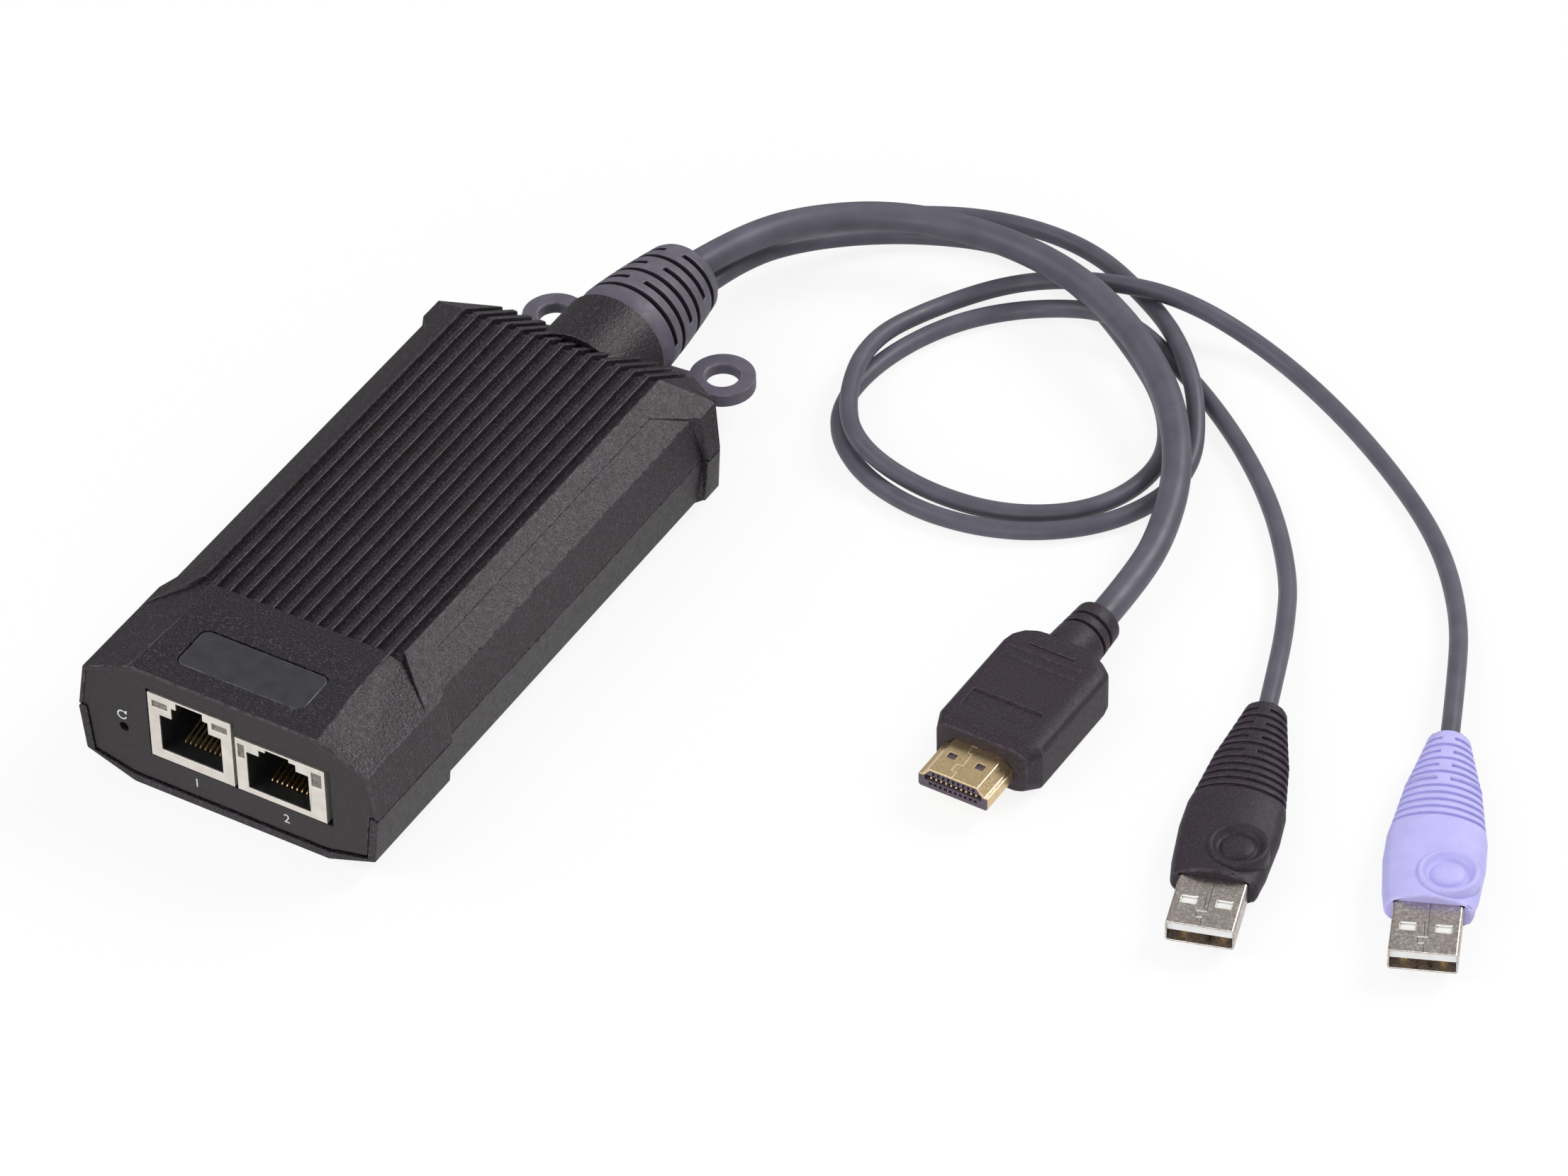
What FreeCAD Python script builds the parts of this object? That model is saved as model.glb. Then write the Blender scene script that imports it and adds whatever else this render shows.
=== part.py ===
"""Desk extender with captive leads: a ribbed two-part housing holds a board with two jacks and
a reset switch, and a slotted strain relief lets out three leads that end in plugs.
Millimetres, +Z up. The jacks face -Y and the origin is the middle of the base."""
import FreeCAD, Part
import math
import os
import re
import Sketcher

Vector = FreeCAD.Vector

SIZES = {
    # Housing outline, seen from the front and from above
    "case_length": 122.8,
    "base_half": 20.1,
    "skirt_half": 29.9,
    "skirt_height": 3.6,
    "belt_half": 30.95,
    "belt_height": 13.4,
    "shoulder_half": 29.45,
    "shoulder_height": 22.7,
    "top_half": 20.7,
    "top_height": 27.8,
    "wall": 1.6,
    "corner_run": 9.0,
    "corner_set": 7.8,
    "rear_half": 20.0,
    "slope_run": 12.5,
    "slope_drop": 8.3,
    # Brow over the jacks and the collars beside it
    "brow_length": 24.4,
    "brow_drop": 0.8,
    "brow_half": 18.6,
    "collar_drop": 0.4,
    "notch_inner": 25.6,
    "notch_outer": 18.6,
    # Waist pressed into both sides
    "waist_depth": 1.2,
    "waist_front": 23.9,
    "waist_rear": 13.0,
    "waist_fade": 7.8,
    "crease_half": 23.7,
    "crease_step": 0.2,
    "seam_depth": 0.45,
    "seam_height": 0.35,
    # Ribs
    "groove_pitch": 3.0,
    "groove_width": 1.8,
    "groove_depth": 1.3,
    # Front wall
    "panel_thick": 2.0,
    "panel_set": 0.3,
    "panel_gap": 0.35,
    "lip": 0.7,
    # Name plate
    "plate_width": 26.0,
    "plate_run": 9.4,
    "plate_set": 4.9,
    "plate_corner": 1.6,
    "plate_recess": 0.8,
    "plate_gap": 0.15,
    "plate_under": 0.15,
    # Rear boss and the strain relief held in it
    "boss_radius": 10.7,
    "boss_height": 15.4,
    "boss_reach": 5.1,
    "boss_sleeve": 8.0,
    "neck_radius": 8.5,
    "neck_length": 9.5,
    "neck_gap": 0.2,
    "ring_radius": 9.4,
    "ring_width": 1.6,
    "ring_set": 5.4,
    "flange_length": 4.6,
    "relief_length": 26.0,
    "relief_radius": 6.6,
    "relief_end_radius": 5.9,
    "relief_round": 1.4,
    "relief_height": 12.7,
    "slot_pitch": 3.4,
    "slot_width": 1.3,
    "slot_depth": 1.4,
    "slot_bridge": 3.2,
    "ear_half": 18.0,
    "ear_set": 8.1,
    "ear_radius": 6.15,
    "ear_hole": 3.1,
    "ear_bottom": 6.7,
    "ear_thick": 2.6,
    "arm_root": 5.0,
    "arm_width": 6.2,
    # Board, posts and cover screws
    "board_half": 24.5,
    "board_gap": 0.4,
    "board_rear": 17.4,
    "board_bottom": 6.6,
    "board_thick": 1.6,
    "post_half": 16.0,
    "post_front": 25.4,
    "post_rear": 28.4,
    "post_radius": 3.4,
    "foot_radius": 4.4,
    "screw_radius": 1.25,
    "screw_gap": 0.15,
    "pilot_gap": 0.05,
    "board_hole_gap": 0.3,
    "screw_length": 14.0,
    "head_radius": 2.7,
    "head_height": 1.8,
    "head_gap": 0.3,
    "head_set": 0.6,
    # Jacks
    "jack_width": 17.2,
    "jack_depth": 16.0,
    "jack_center": -7.3,
    "jack_space": 0.7,
    "jack_clear": 0.45,
    "sheet": 0.35,
    "mouth_width": 12.7,
    "mouth_depth": 12.5,
    "contact_pitch": 1.02,
    "contact_width": 0.46,
    "contact_thick": 0.3,
    "contact_set": 3.0,
    "contact_rise": 2.6,
    "one_roof": 2.2,
    "one_floor": 2.1,
    "one_lintel": 4.4,
    "one_key": 5.5,
    "one_step": 7.6,
    "one_step_drop": 1.9,
    "one_lamp_width": 3.2,
    "one_lamp_height": 1.5,
    "one_lamp_out": 6.2,
    "one_lamp_drop": 2.2,
    "two_roof": 4.8,
    "two_floor": 1.2,
    "two_lintel": 2.4,
    "two_key": 4.8,
    "two_step": 7.6,
    "two_step_drop": 1.0,
    "two_lamp_width": 1.4,
    "two_lamp_height": 2.1,
    "two_lamp_out": 7.45,
    "two_lamp_drop": 2.7,
    "lamp_depth": 4.0,
    # Reset switch
    "reset_shift": 0.325,
    "reset_height": 11.8,
    "reset_hole": 0.95,
    "switch_width": 6.0,
    "switch_run": 4.6,
    "switch_height": 7.0,
    "switch_set": 1.5,
    "plunger_radius": 1.6,
    "plunger_out": 1.0,
    "plunger_in": 1.1,
    "plunger_gap": 0.15,
    "plunger_travel": 0.25,
    # Chips, headers and inner lead tails
    "processor_side": 14.0,
    "processor_height": 1.4,
    "processor_x": 1.0,
    "processor_y": -15.0,
    "memory_width": 6.2,
    "memory_run": 9.0,
    "memory_height": 1.1,
    "memory_x": -15.5,
    "memory_y": -12.0,
    "memory_pitch": 13.0,
    "transformer_width": 12.5,
    "transformer_run": 8.6,
    "transformer_height": 5.8,
    "transformer_x": 6.0,
    "transformer_y": -36.0,
    "header_run": 5.0,
    "header_height": 4.0,
    "header_set": 0.5,
    "video_header_width": 8.0,
    "data_header_width": 5.4,
    "data_header_x": 7.6,
    "video_tail_radius": 0.8,
    "data_tail_radius": 0.7,
    # Leads
    "video_lead_radius": 2.75,
    "data_lead_radius": 1.7,
    "lead_lift": 0.05,
    "lead_straight": 11.0,
    "video_exit_x": 0.8,
    "video_exit_height": 14.9,
    "data_exit_x": 2.0,
    "data_exit_height": 9.6,
    # Video plug
    "video_x": 107.65,
    "video_y": -59.27,
    "video_turn": -1.0,
    "video_axis": 5.4,
    "video_shell_half": 6.95,
    "video_shell_top": 5.0,
    "video_shell_side": 2.2,
    "video_shell_height": 4.45,
    "video_shell_wall": 0.4,
    "video_shell_out": 9.0,
    "video_grip_half": 9.8,
    "video_grip_end": 38.5,
    "video_bevel": 3.0,
    "video_bevel_in": 1.1,
    "video_corner": 2.2,
    "video_front_drop": 0.77,
    "video_shoulder": 5.0,
    "video_shoulder_drop": 0.6,
    "video_neck_end": 50.4,
    "video_neck_radius": 5.2,
    "video_neck_tip": 4.4,
    "neck_groove": 0.8,
    "neck_groove_pitch": 2.6,
    "neck_groove_from": 5.6,
    "video_slot_half": 5.6,
    "video_slot_height": 1.9,
    "video_pin_pitch": 1.0,
    "video_pin_width": 0.45,
    "video_pin_thick": 0.25,
    "thumb_half": 6.9,
    "thumb_from": 14.5,
    "thumb_run": 4.7,
    "thumb_depth": 0.5,
    "ridge_from": 29.2,
    "ridge_pitch": 2.5,
    "ridge_width": 0.8,
    "ridge_rise": 0.3,
    # Data plugs
    "black_x": 161.66,
    "black_y": -69.86,
    "black_turn": 16.6,
    "lavender_x": 197.35,
    "lavender_y": -56.89,
    "lavender_turn": 22.3,
    "data_axis": 4.46,
    "data_shell_half": 6.0,
    "data_shell_height": 4.5,
    "data_shell_wall": 0.35,
    "data_shell_out": 12.0,
    "shell_root": 2.0,
    "data_window": 2.5,
    "data_window_from": 5.4,
    "data_window_out": 2.3,
    "tongue_thick": 1.85,
    "tongue_set": 0.5,
    "data_pin_width": 1.0,
    "data_pin_pitch": 2.25,
    "data_pin_thick": 0.2,
    "data_pin_set": 1.0,
    "data_pin_run": 8.4,
    "grip_half": 8.6,
    "grip_thick": 4.4,
    "grip_side": 2.9,
    "tail_end": 60.0,
    "tail_half": 3.75,
    "tail_thick": 3.2,
    "tail_side": 2.6,
    "tail_groove_first": 2.4,
    "tail_groove_pitch": 1.75,
    "tail_groove_width": 0.8,
    "tail_groove_depth": 0.55,
    "tail_bridge": 2.2,
    "pod_x": 2.8,
    "pod_y": 19.2,
    "pod_radius": 5.3,
    "pod_rise": 0.15,
    "dish_radius": 4.5,
    "dish_depth": 0.4,
    "button_radius": 3.6,
    "trough_depth": 1.0,
}

# Counts of what repeats
GROOVES = 14
SLOT_ROWS = 6
CONTACTS = 8
VIDEO_PINS = 10
DATA_PINS = 4
TAIL_GROOVES = 12
SPLIT_TAIL_GROOVES = 8
NECK_GROOVES = 2
SHOULDER_STEPS = 4

# Planes and heights that the pieces share
FRONT = "(-case_length / 2)"
REAR = "(case_length / 2)"
FOLD = f"({REAR} - slope_run)"
BOSS_FACE = f"({REAR} + boss_reach)"
PANEL_BACK = f"({FRONT} + panel_thick)"
BOARD_TOP = "(board_bottom + board_thick)"
BOARD_FRONT = f"({PANEL_BACK} + board_gap)"
BOARD_END = f"({REAR} - board_rear)"
CEILING = "(top_height - groove_depth - wall)"
GLAND = f"({BOSS_FACE} + relief_length)"
PLATE_FLOOR = "(top_height - brow_drop - plate_recess)"
JACK_TWO = "(jack_center + jack_width + jack_space)"
SWITCH_FACE = f"({PANEL_BACK} + switch_set)"
JACK_SIDE = "(jack_center - jack_width / 2)"
INNER_SIDE = "(belt_half - wall - waist_depth)"
RESET = f"(({JACK_SIDE} - {INNER_SIDE}) / 2 + reset_shift)"
OVERSHOOT = 2

doc = FreeCAD.newDocument("Extender")
sheet = doc.addObject("Spreadsheet::Sheet", "Sizes")
for row, (alias, value) in enumerate(SIZES.items(), start=1):
    sheet.set(f"A{row}", alias)
    sheet.set(f"B{row}", str(value))
    sheet.setAlias(f"B{row}", alias)
doc.recompute()

PARTS = []


def size(alias):
    """The value that the sheet holds under this alias."""
    return float(sheet.get(alias))


def bound(text):
    """An expression with each alias pointed at the sheet."""
    return re.sub(r"[a-z_]+", lambda word: f"Sizes.{word[0]}" if word[0] in SIZES else word[0], str(text))


def move(item, x, y, z):
    """Bind an object's position."""
    for axis, value in zip("xyz", (x, y, z)):
        item.setExpression(f"Placement.Base.{axis}", bound(value))


def part(item, label):
    """Name a finished sub-part, which is exported under its label."""
    item.Label = label
    PARTS.append(item)
    return item


def box(name, corner, extent):
    item = doc.addObject("Part::Box", name)
    move(item, *corner)
    for side, value in zip(("Length", "Width", "Height"), extent):
        item.setExpression(side, bound(value))
    return item


def rod(name, axis, start, radius, length):
    """A cylinder from a start point along X, Y or Z."""
    turns = {"x": (Vector(0, 1, 0), 90), "y": (Vector(1, 0, 0), -90), "z": (Vector(0, 0, 1), 0)}
    item = doc.addObject("Part::Cylinder", name)
    item.Placement = FreeCAD.Placement(Vector(), FreeCAD.Rotation(*turns[axis]))
    move(item, *start)
    item.setExpression("Radius", bound(radius))
    item.setExpression("Height", bound(length))
    return item


def fuse(name, *items):
    item = doc.addObject("Part::MultiFuse", name)
    item.Shapes = list(items)
    return item


def common(name, *items):
    item = doc.addObject("Part::MultiCommon", name)
    item.Shapes = list(items)
    return item


def group(name, *items):
    item = doc.addObject("Part::Compound", name)
    item.Links = list(items)
    return item


def cut(name, base, *tools):
    item = doc.addObject("Part::Cut", name)
    item.Base = base
    item.Tool = tools[0] if len(tools) == 1 else group(f"{name}_tools", *tools)
    return item


def mirrored(name, source):
    """The same form on the other side of the housing's middle plane."""
    item = doc.addObject("Part::Mirroring", name)
    item.Source = source
    item.Normal = Vector(1, 0, 0)
    return item


PLANES = {
    "XY": (FreeCAD.Rotation(), Vector(0, 0, 1), "z"),
    "XZ": (FreeCAD.Rotation(Vector(1, 0, 0), 90), Vector(0, 1, 0), "y"),
    "YZ": (FreeCAD.Rotation(Vector(1, 1, 1), 120), Vector(1, 0, 0), "x"),
}


def new_sketch(name, plane, level):
    rotation, _, axis = PLANES[plane]
    sketch = doc.addObject("Sketcher::SketchObject", name)
    sketch.Placement = FreeCAD.Placement(Vector(), rotation)
    sketch.setExpression(f"Placement.Base.{axis}", bound(level))
    return sketch


def hold(sketch, kind, *what, rough=1.0):
    """Add a constraint whose value is the last argument, an expression, after a rough first value."""
    number = sketch.addConstraint(Sketcher.Constraint(kind, *what[:-1], rough))
    sketch.setExpression(f"Constraints[{number}]", bound(what[-1]))


def polygon(name, plane, level, corners):
    """A closed sketch whose corners, drawn first on a rough ring, are held by the sheet."""
    sketch = new_sketch(name, plane, level)
    count = len(corners)
    ring = [Vector(math.cos(turn), math.sin(turn), 0) * 10
            for turn in (2 * math.pi * step / count for step in range(count))]
    for step in range(count):
        sketch.addGeometry(Part.LineSegment(ring[step], ring[(step + 1) % count]))
    for step in range(count):
        sketch.addConstraint(Sketcher.Constraint("Coincident", step, 2, (step + 1) % count, 1))
    for step, (across, along) in enumerate(corners):
        hold(sketch, "DistanceX", -1, 1, step, 1, across)
        hold(sketch, "DistanceY", -1, 1, step, 1, along)
    return sketch


def prism(name, plane, start, length, corners):
    """A polygon drawn out along the axis across its plane."""
    item = doc.addObject("Part::Extrusion", name)
    item.Base = polygon(f"{name}_outline", plane, start, corners)
    item.DirMode = "Custom"
    item.Dir = PLANES[plane][1]
    item.Solid = True
    item.setExpression("LengthFwd", bound(length))
    return item


def both_sides(corners):
    """A right-hand outline from top to bottom, closed by its mirror image."""
    return list(corners) + [(f"-({across})", along) for across, along in reversed(corners)]


def rounded(name, level, height, half_width, half_height, radius):
    """A rectangle with round corners, upright across the Y axis."""
    sketch = new_sketch(name, "XZ", level)
    for turn, (side, rise) in enumerate(((1, 1), (-1, 1), (-1, -1), (1, -1))):
        circle = Part.Circle(Vector(4 * side, 2 * rise, 0), Vector(0, 0, 1), 1)
        sketch.addGeometry(Part.ArcOfCircle(circle, turn * math.pi / 2, (turn + 1) * math.pi / 2))
    for start, end in (((4, 3), (-4, 3)), ((-5, 2), (-5, -2)), ((-4, -3), (4, -3)), ((5, -2), (5, 2))):
        sketch.addGeometry(Part.LineSegment(Vector(*start, 0), Vector(*end, 0)))
    for arc in range(4):
        sketch.addConstraint(Sketcher.Constraint("Tangent", arc, 2, 4 + arc, 1))
        sketch.addConstraint(Sketcher.Constraint("Tangent", 4 + arc, 2, (arc + 1) % 4, 1))
    for arc, (side, rise) in enumerate((("", ""), ("-", ""), ("-", "-"), ("", "-"))):
        hold(sketch, "DistanceX", -1, 1, arc, 3, f"{side}({half_width} - {radius})")
        hold(sketch, "DistanceY", -1, 1, arc, 3, f"{height} + {rise}1 * ({half_height} - {radius})")
        hold(sketch, "Radius", arc, radius)
    return sketch


def oval(name, level, height, half_width, half_height, side):
    """A cushion-shaped section upright across the Y axis: flat arcs above and below, round sides."""
    sketch = new_sketch(name, "XZ", level)
    turn = math.radians(60)
    for middle, radius, first, last in (
            ((7, 0), 3, -turn, turn),
            ((0, -12), 17, turn, math.pi - turn),
            ((-7, 0), 3, math.pi - turn, math.pi + turn),
            ((0, 12), 17, math.pi + turn, 2 * math.pi - turn)):
        circle = Part.Circle(Vector(*middle, 0), Vector(0, 0, 1), radius)
        sketch.addGeometry(Part.ArcOfCircle(circle, first, last))
    for arc in range(4):
        sketch.addConstraint(Sketcher.Constraint("Tangent", arc, 2, (arc + 1) % 4, 1))
    offset = f"({half_width} - {side})"
    for arc, sign in ((0, 1), (2, -1)):
        hold(sketch, "DistanceX", -1, 1, arc, 3, f"{sign} * {offset}", rough=7.0 * sign)
        hold(sketch, "DistanceY", -1, 1, arc, 3, height)
        hold(sketch, "Radius", arc, side, rough=3.0)
    crown = f"({offset} * {offset} + {half_height} * {half_height} - {side} * {side})"
    for arc in (1, 3):
        hold(sketch, "Radius", arc, f"{crown} / (2 * ({half_height} - {side}))", rough=17.0)
    return sketch


def ring(name, level, height, radius):
    """A circle upright across the Y axis."""
    item = doc.addObject("Part::Circle", name)
    item.Placement = FreeCAD.Placement(Vector(), FreeCAD.Rotation(Vector(1, 0, 0), 90))
    move(item, 0, level, height)
    item.setExpression("Radius", bound(radius))
    return item


def loft(name, *sections):
    item = doc.addObject("Part::Loft", name)
    item.Sections = list(sections)
    item.Solid = True
    item.Ruled = True
    return item


def half_facet(across):
    """Height of the slanted top facet above a half width."""
    fall = "(top_height - shoulder_height) / (shoulder_half - top_half)"
    return f"top_height - ({across} - top_half) * {fall}"


def corner_cutter(name):
    """What lies outside the slanted facet at the right rear corner."""
    rear = size("case_length") / 2
    inner = Vector(size("top_half"), rear - size("slope_run"), size("top_height"))
    outer = Vector(size("shoulder_half"), rear - size("corner_set"), size("shoulder_height"))
    lower = Vector(size("rear_half"), rear, size("top_height") - size("slope_drop"))
    normal = (outer - inner).cross(lower - inner).normalize()
    reach = size("belt_half")
    plane = Part.makePlane(2 * reach, 2 * reach, Vector(), normal)
    plane.translate((inner + outer + lower) / 3 - plane.CenterOfMass)
    item = doc.addObject("Part::Feature", name)
    item.Shape = plane.extrude(normal * reach)
    return item


# Outer form of the housing, as three views that meet

UPPER_VIEW = [
    ("top_half", "top_height"),
    ("shoulder_half", "shoulder_height"),
    ("belt_half", "belt_height"),
]
LOWER_VIEW = [
    ("belt_half", "belt_height"),
    ("skirt_half", "skirt_height"),
    ("base_half", 0),
]
PLAN_VIEW = [
    ("rear_half", REAR),
    ("belt_half", f"{REAR} - corner_run"),
    ("belt_half", FRONT),
]
SIDE_VIEW = [
    (FRONT, 0),
    (FRONT, "top_height - brow_drop"),
    (f"{FRONT} + brow_length", "top_height"),
    (FOLD, "top_height"),
    (REAR, "top_height - slope_drop"),
    (REAR, 0),
]


def plan_prism(name):
    return prism(name, "XY", 0, "top_height", both_sides(PLAN_VIEW))


def waist_cutter(name, profile, inner):
    """Side material outside the waist, with slanted ends that start at an inner half width."""
    front = f"{FRONT} + waist_front"
    rear = f"{REAR} - waist_rear"
    reach = "(belt_half + wall)"
    view = prism(f"{name}_view", "XZ", FRONT, "case_length", profile)
    plan = prism(f"{name}_plan", "XY", 0, "top_height", [
        (inner, f"{front} + waist_fade"),
        ("shoulder_half", front),
        (reach, front),
        (reach, rear),
        ("shoulder_half", rear),
        (inner, f"{rear} - waist_fade"),
    ])
    right = common(f"{name}_right", view, plan)
    return [right, mirrored(f"{name}_left", right)]


def upper_waist():
    reach = "(belt_half + wall)"
    crease = half_facet("crease_half")
    return waist_cutter("upper_waist", [
        ("crease_half", crease),
        ("crease_half", f"{crease} - crease_step"),
        ("shoulder_half - waist_depth", "shoulder_height"),
        ("belt_half - waist_depth", "belt_height"),
        (reach, "belt_height"),
        (reach, crease),
    ], "crease_half")


def lower_waist():
    reach = "(belt_half + wall)"
    return waist_cutter("lower_waist", [
        ("base_half", 0),
        (reach, 0),
        (reach, "belt_height"),
        ("belt_half - waist_depth", "belt_height"),
        ("skirt_half - waist_depth", "skirt_height"),
    ], "base_half")


def seam_cutters():
    """The shadow line between the covers, cut into the rim of the lower one along both sides."""
    tools = []
    for name, inner in (("seam_collar", "belt_half"), ("seam_waist", "(belt_half - waist_depth)")):
        right = box(name, (f"{inner} - seam_depth", FRONT, "belt_height - seam_height"),
                    ("seam_depth + waist_depth", "case_length", "2 * seam_height"))
        tools += [right, mirrored(f"{name}_left", right)]
    front = f"{FRONT} + waist_front"
    rear = f"{REAR} - waist_rear"
    span = box("seam_span", ("-belt_half", front, 0), ("2 * belt_half", f"{rear} - ({front})", "top_height"))
    return tools[:2] + [common("seam_waists", group("seam_waist_rows", *tools[2:]), span)]


def collar_cutters():
    """The two front collars lie a little below the facets behind them."""
    view = prism("collar_view", "XZ", FRONT, "notch_inner", [
        ("brow_half", "top_height - collar_drop"),
        ("shoulder_half", "shoulder_height"),
        ("shoulder_half", "top_height"),
        ("brow_half", "top_height"),
    ])
    plan = prism("collar_plan", "XY", 0, "top_height", [
        ("brow_half", FRONT),
        ("shoulder_half", FRONT),
        ("shoulder_half", f"{FRONT} + notch_outer"),
        ("top_half", f"{FRONT} + notch_inner"),
        ("brow_half", f"{FRONT} + notch_inner"),
    ])
    right = common("collar_right", view, plan)
    return [right, mirrored("collar_left", right)]


def groove_cutters():
    """Grooves between the ribs, which run along the top and down the rear slope."""
    band = prism("groove_band", "YZ", "-top_half", "2 * top_half", [
        (f"{FRONT} + brow_length", "top_height - groove_depth"),
        (FOLD, "top_height - groove_depth"),
        (REAR, "top_height - slope_drop - groove_depth"),
        (REAR, "top_height"),
        (f"{FRONT} + brow_length", "top_height"),
    ])
    rows = []
    for step in range(GROOVES):
        place = f"{step - (GROOVES - 1) / 2} * groove_pitch - groove_width / 2"
        rows.append(box(f"groove_{step}", (place, FRONT, 0), ("groove_width", "case_length", "top_height")))
    return common("grooves", group("groove_rows", *rows), band)


def cavity():
    """The inside of both covers."""
    side_wall = "(wall + waist_depth)"
    view = prism("cavity_view", "XZ", PANEL_BACK, "case_length - panel_thick - wall", both_sides([
        ("top_half - wall", CEILING),
        (f"shoulder_half - {side_wall}", "shoulder_height - wall / 2"),
        (f"belt_half - {side_wall}", "belt_height"),
        (f"skirt_half - {side_wall}", "skirt_height + wall / 2"),
        ("base_half - wall", "wall"),
    ]))
    plan = prism("cavity_plan", "XY", 0, "top_height", both_sides([
        ("rear_half - wall", f"{REAR} - wall"),
        ("belt_half", f"{REAR} - corner_run - wall"),
        ("belt_half", FRONT),
    ]))
    side = prism("cavity_side", "YZ", "-belt_half", "2 * belt_half", [
        (FRONT, 0),
        (FRONT, CEILING),
        (f"{FOLD} - wall", CEILING),
        (f"{REAR} - wall", f"{CEILING} - slope_drop"),
        (f"{REAR} - wall", 0),
    ])
    return common("cavity", view, plan, side)


def boss_half(name, level, height):
    """One cover's share of the rear boss, with its sleeve through the wall."""
    start = f"{REAR} - boss_sleeve"
    whole = rod(f"{name}_rod", "y", (0, start, "boss_height"), "boss_radius", "boss_sleeve + boss_reach")
    slab = box(f"{name}_slab", ("-boss_radius", start, level),
               ("2 * boss_radius", "boss_sleeve + boss_reach", height))
    return common(name, whole, slab)


def boss_bore(name):
    """The bore that holds the neck of the strain relief, and the groove for its ring."""
    start = f"{REAR} - boss_sleeve - {OVERSHOOT}"
    bore = rod(f"{name}_bore", "y", (0, start, "boss_height"), "neck_radius + neck_gap",
               f"boss_sleeve + boss_reach + {2 * OVERSHOOT}")
    groove = rod(f"{name}_groove", "y", (0, f"{BOSS_FACE} - ring_set - neck_gap", "boss_height"),
                 "ring_radius + neck_gap", "ring_width + 2 * neck_gap")
    return [bore, groove]


def post_places():
    """The four corners where posts and screws stand."""
    for side in ("-", ""):
        for along in (f"{FRONT} + post_front", f"{REAR} - post_rear"):
            yield f"{side}post_half", along


def plate_block(name, gap, floor, height):
    """The round-cornered block of the name plate, larger by a gap for its recess."""
    half = f"(plate_width / 2 + {gap})"
    near = f"({FRONT} + plate_set - {gap})"
    run = f"(plate_run + 2 * {gap})"
    radius = f"(plate_corner + {gap})"
    pieces = [
        box(f"{name}_long", (f"-{half}", f"{near} + {radius}", floor),
            (f"2 * {half}", f"{run} - 2 * {radius}", height)),
        box(f"{name}_deep", (f"{radius} - {half}", near, floor),
            (f"2 * {half} - 2 * {radius}", run, height)),
    ]
    for side in ("-", ""):
        for along in (f"{near} + {radius}", f"{near} + {run} - {radius}"):
            place = (f"{side}1 * ({half} - {radius})", along, floor)
            pieces.append(rod(f"{name}_corner", "z", place, radius, height))
    return fuse(name, *pieces)


def jack_window(name, center, kind):
    """The hole in the front wall around a jack."""
    half = "(jack_width / 2 + jack_clear)"
    return box(name, (f"{center} - {half}", f"{FRONT} - {OVERSHOOT}", f"{BOARD_TOP} - jack_clear"),
               (f"2 * {half}", f"panel_thick + {2 * OVERSHOOT}",
                f"{CEILING} - {kind}_roof - {BOARD_TOP} + 2 * jack_clear"))


def top_cover():
    view = prism("upper_view", "XZ", FRONT, "case_length", both_sides(UPPER_VIEW))
    side = prism("side_view", "YZ", "-belt_half", "2 * belt_half", SIDE_VIEW)
    block = common("upper_block", view, plan_prism("upper_plan"), side)
    corner = corner_cutter("corner_right")
    outside = cut("upper_outside", block, corner, mirrored("corner_left", corner))
    shaped = cut("upper_shaped", outside, *upper_waist(), *collar_cutters())
    ribbed = cut("upper_ribbed", shaped, groove_cutters())
    shell = cut("upper_shell", ribbed, cavity())
    skirt = prism("panel_skirt", "XZ", f"{FRONT} + panel_set", "panel_thick - panel_set", both_sides([
        ("belt_half - wall - panel_gap", "belt_height"),
        ("skirt_half - wall - panel_gap", "skirt_height + panel_gap"),
        ("base_half - panel_gap", "wall + panel_gap"),
    ]))
    posts = []
    for step, (across, along) in enumerate(post_places()):
        place = (across, along, BOARD_TOP)
        posts.append(rod(f"upper_post_{step}", "z", place, "post_radius",
                         f"{CEILING} + wall / 2 - {BOARD_TOP}"))
    boss = boss_half("upper_boss", "belt_height", "boss_height + boss_radius - belt_height")
    solid = fuse("upper_solid", shell, skirt, boss, *posts)
    face = prism("panel_face", "XZ", FRONT, "panel_set", both_sides([
        ("brow_half - lip", "top_height - brow_drop - lip"),
        ("shoulder_half - lip", "shoulder_height - lip"),
        ("belt_half - lip", "belt_height"),
    ]))
    pilots = []
    for step, (across, along) in enumerate(post_places()):
        place = (across, along, f"{BOARD_TOP} - {OVERSHOOT}")
        pilots.append(rod(f"pilot_{step}", "z", place, "screw_radius + pilot_gap",
                          f"screw_length + {OVERSHOOT}"))
    reset = rod("reset_hole", "y", (RESET, f"{FRONT} - {OVERSHOOT}", "reset_height"), "reset_hole",
                f"panel_thick + {2 * OVERSHOOT}")
    recess = plate_block("plate_recess_block", "plate_gap", PLATE_FLOOR, "plate_recess + brow_drop")
    trimmed = cut("upper_trimmed", solid, face, recess, reset)
    ported = cut("upper_ported", trimmed, jack_window("window_one", "jack_center", "one"))
    opened = cut("upper_opened", ported, jack_window("window_two", JACK_TWO, "two"))
    bored = cut("upper_bored", opened, *boss_bore("upper_neck"))
    return part(cut("upper_done", bored, *pilots), "top_cover")


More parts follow.
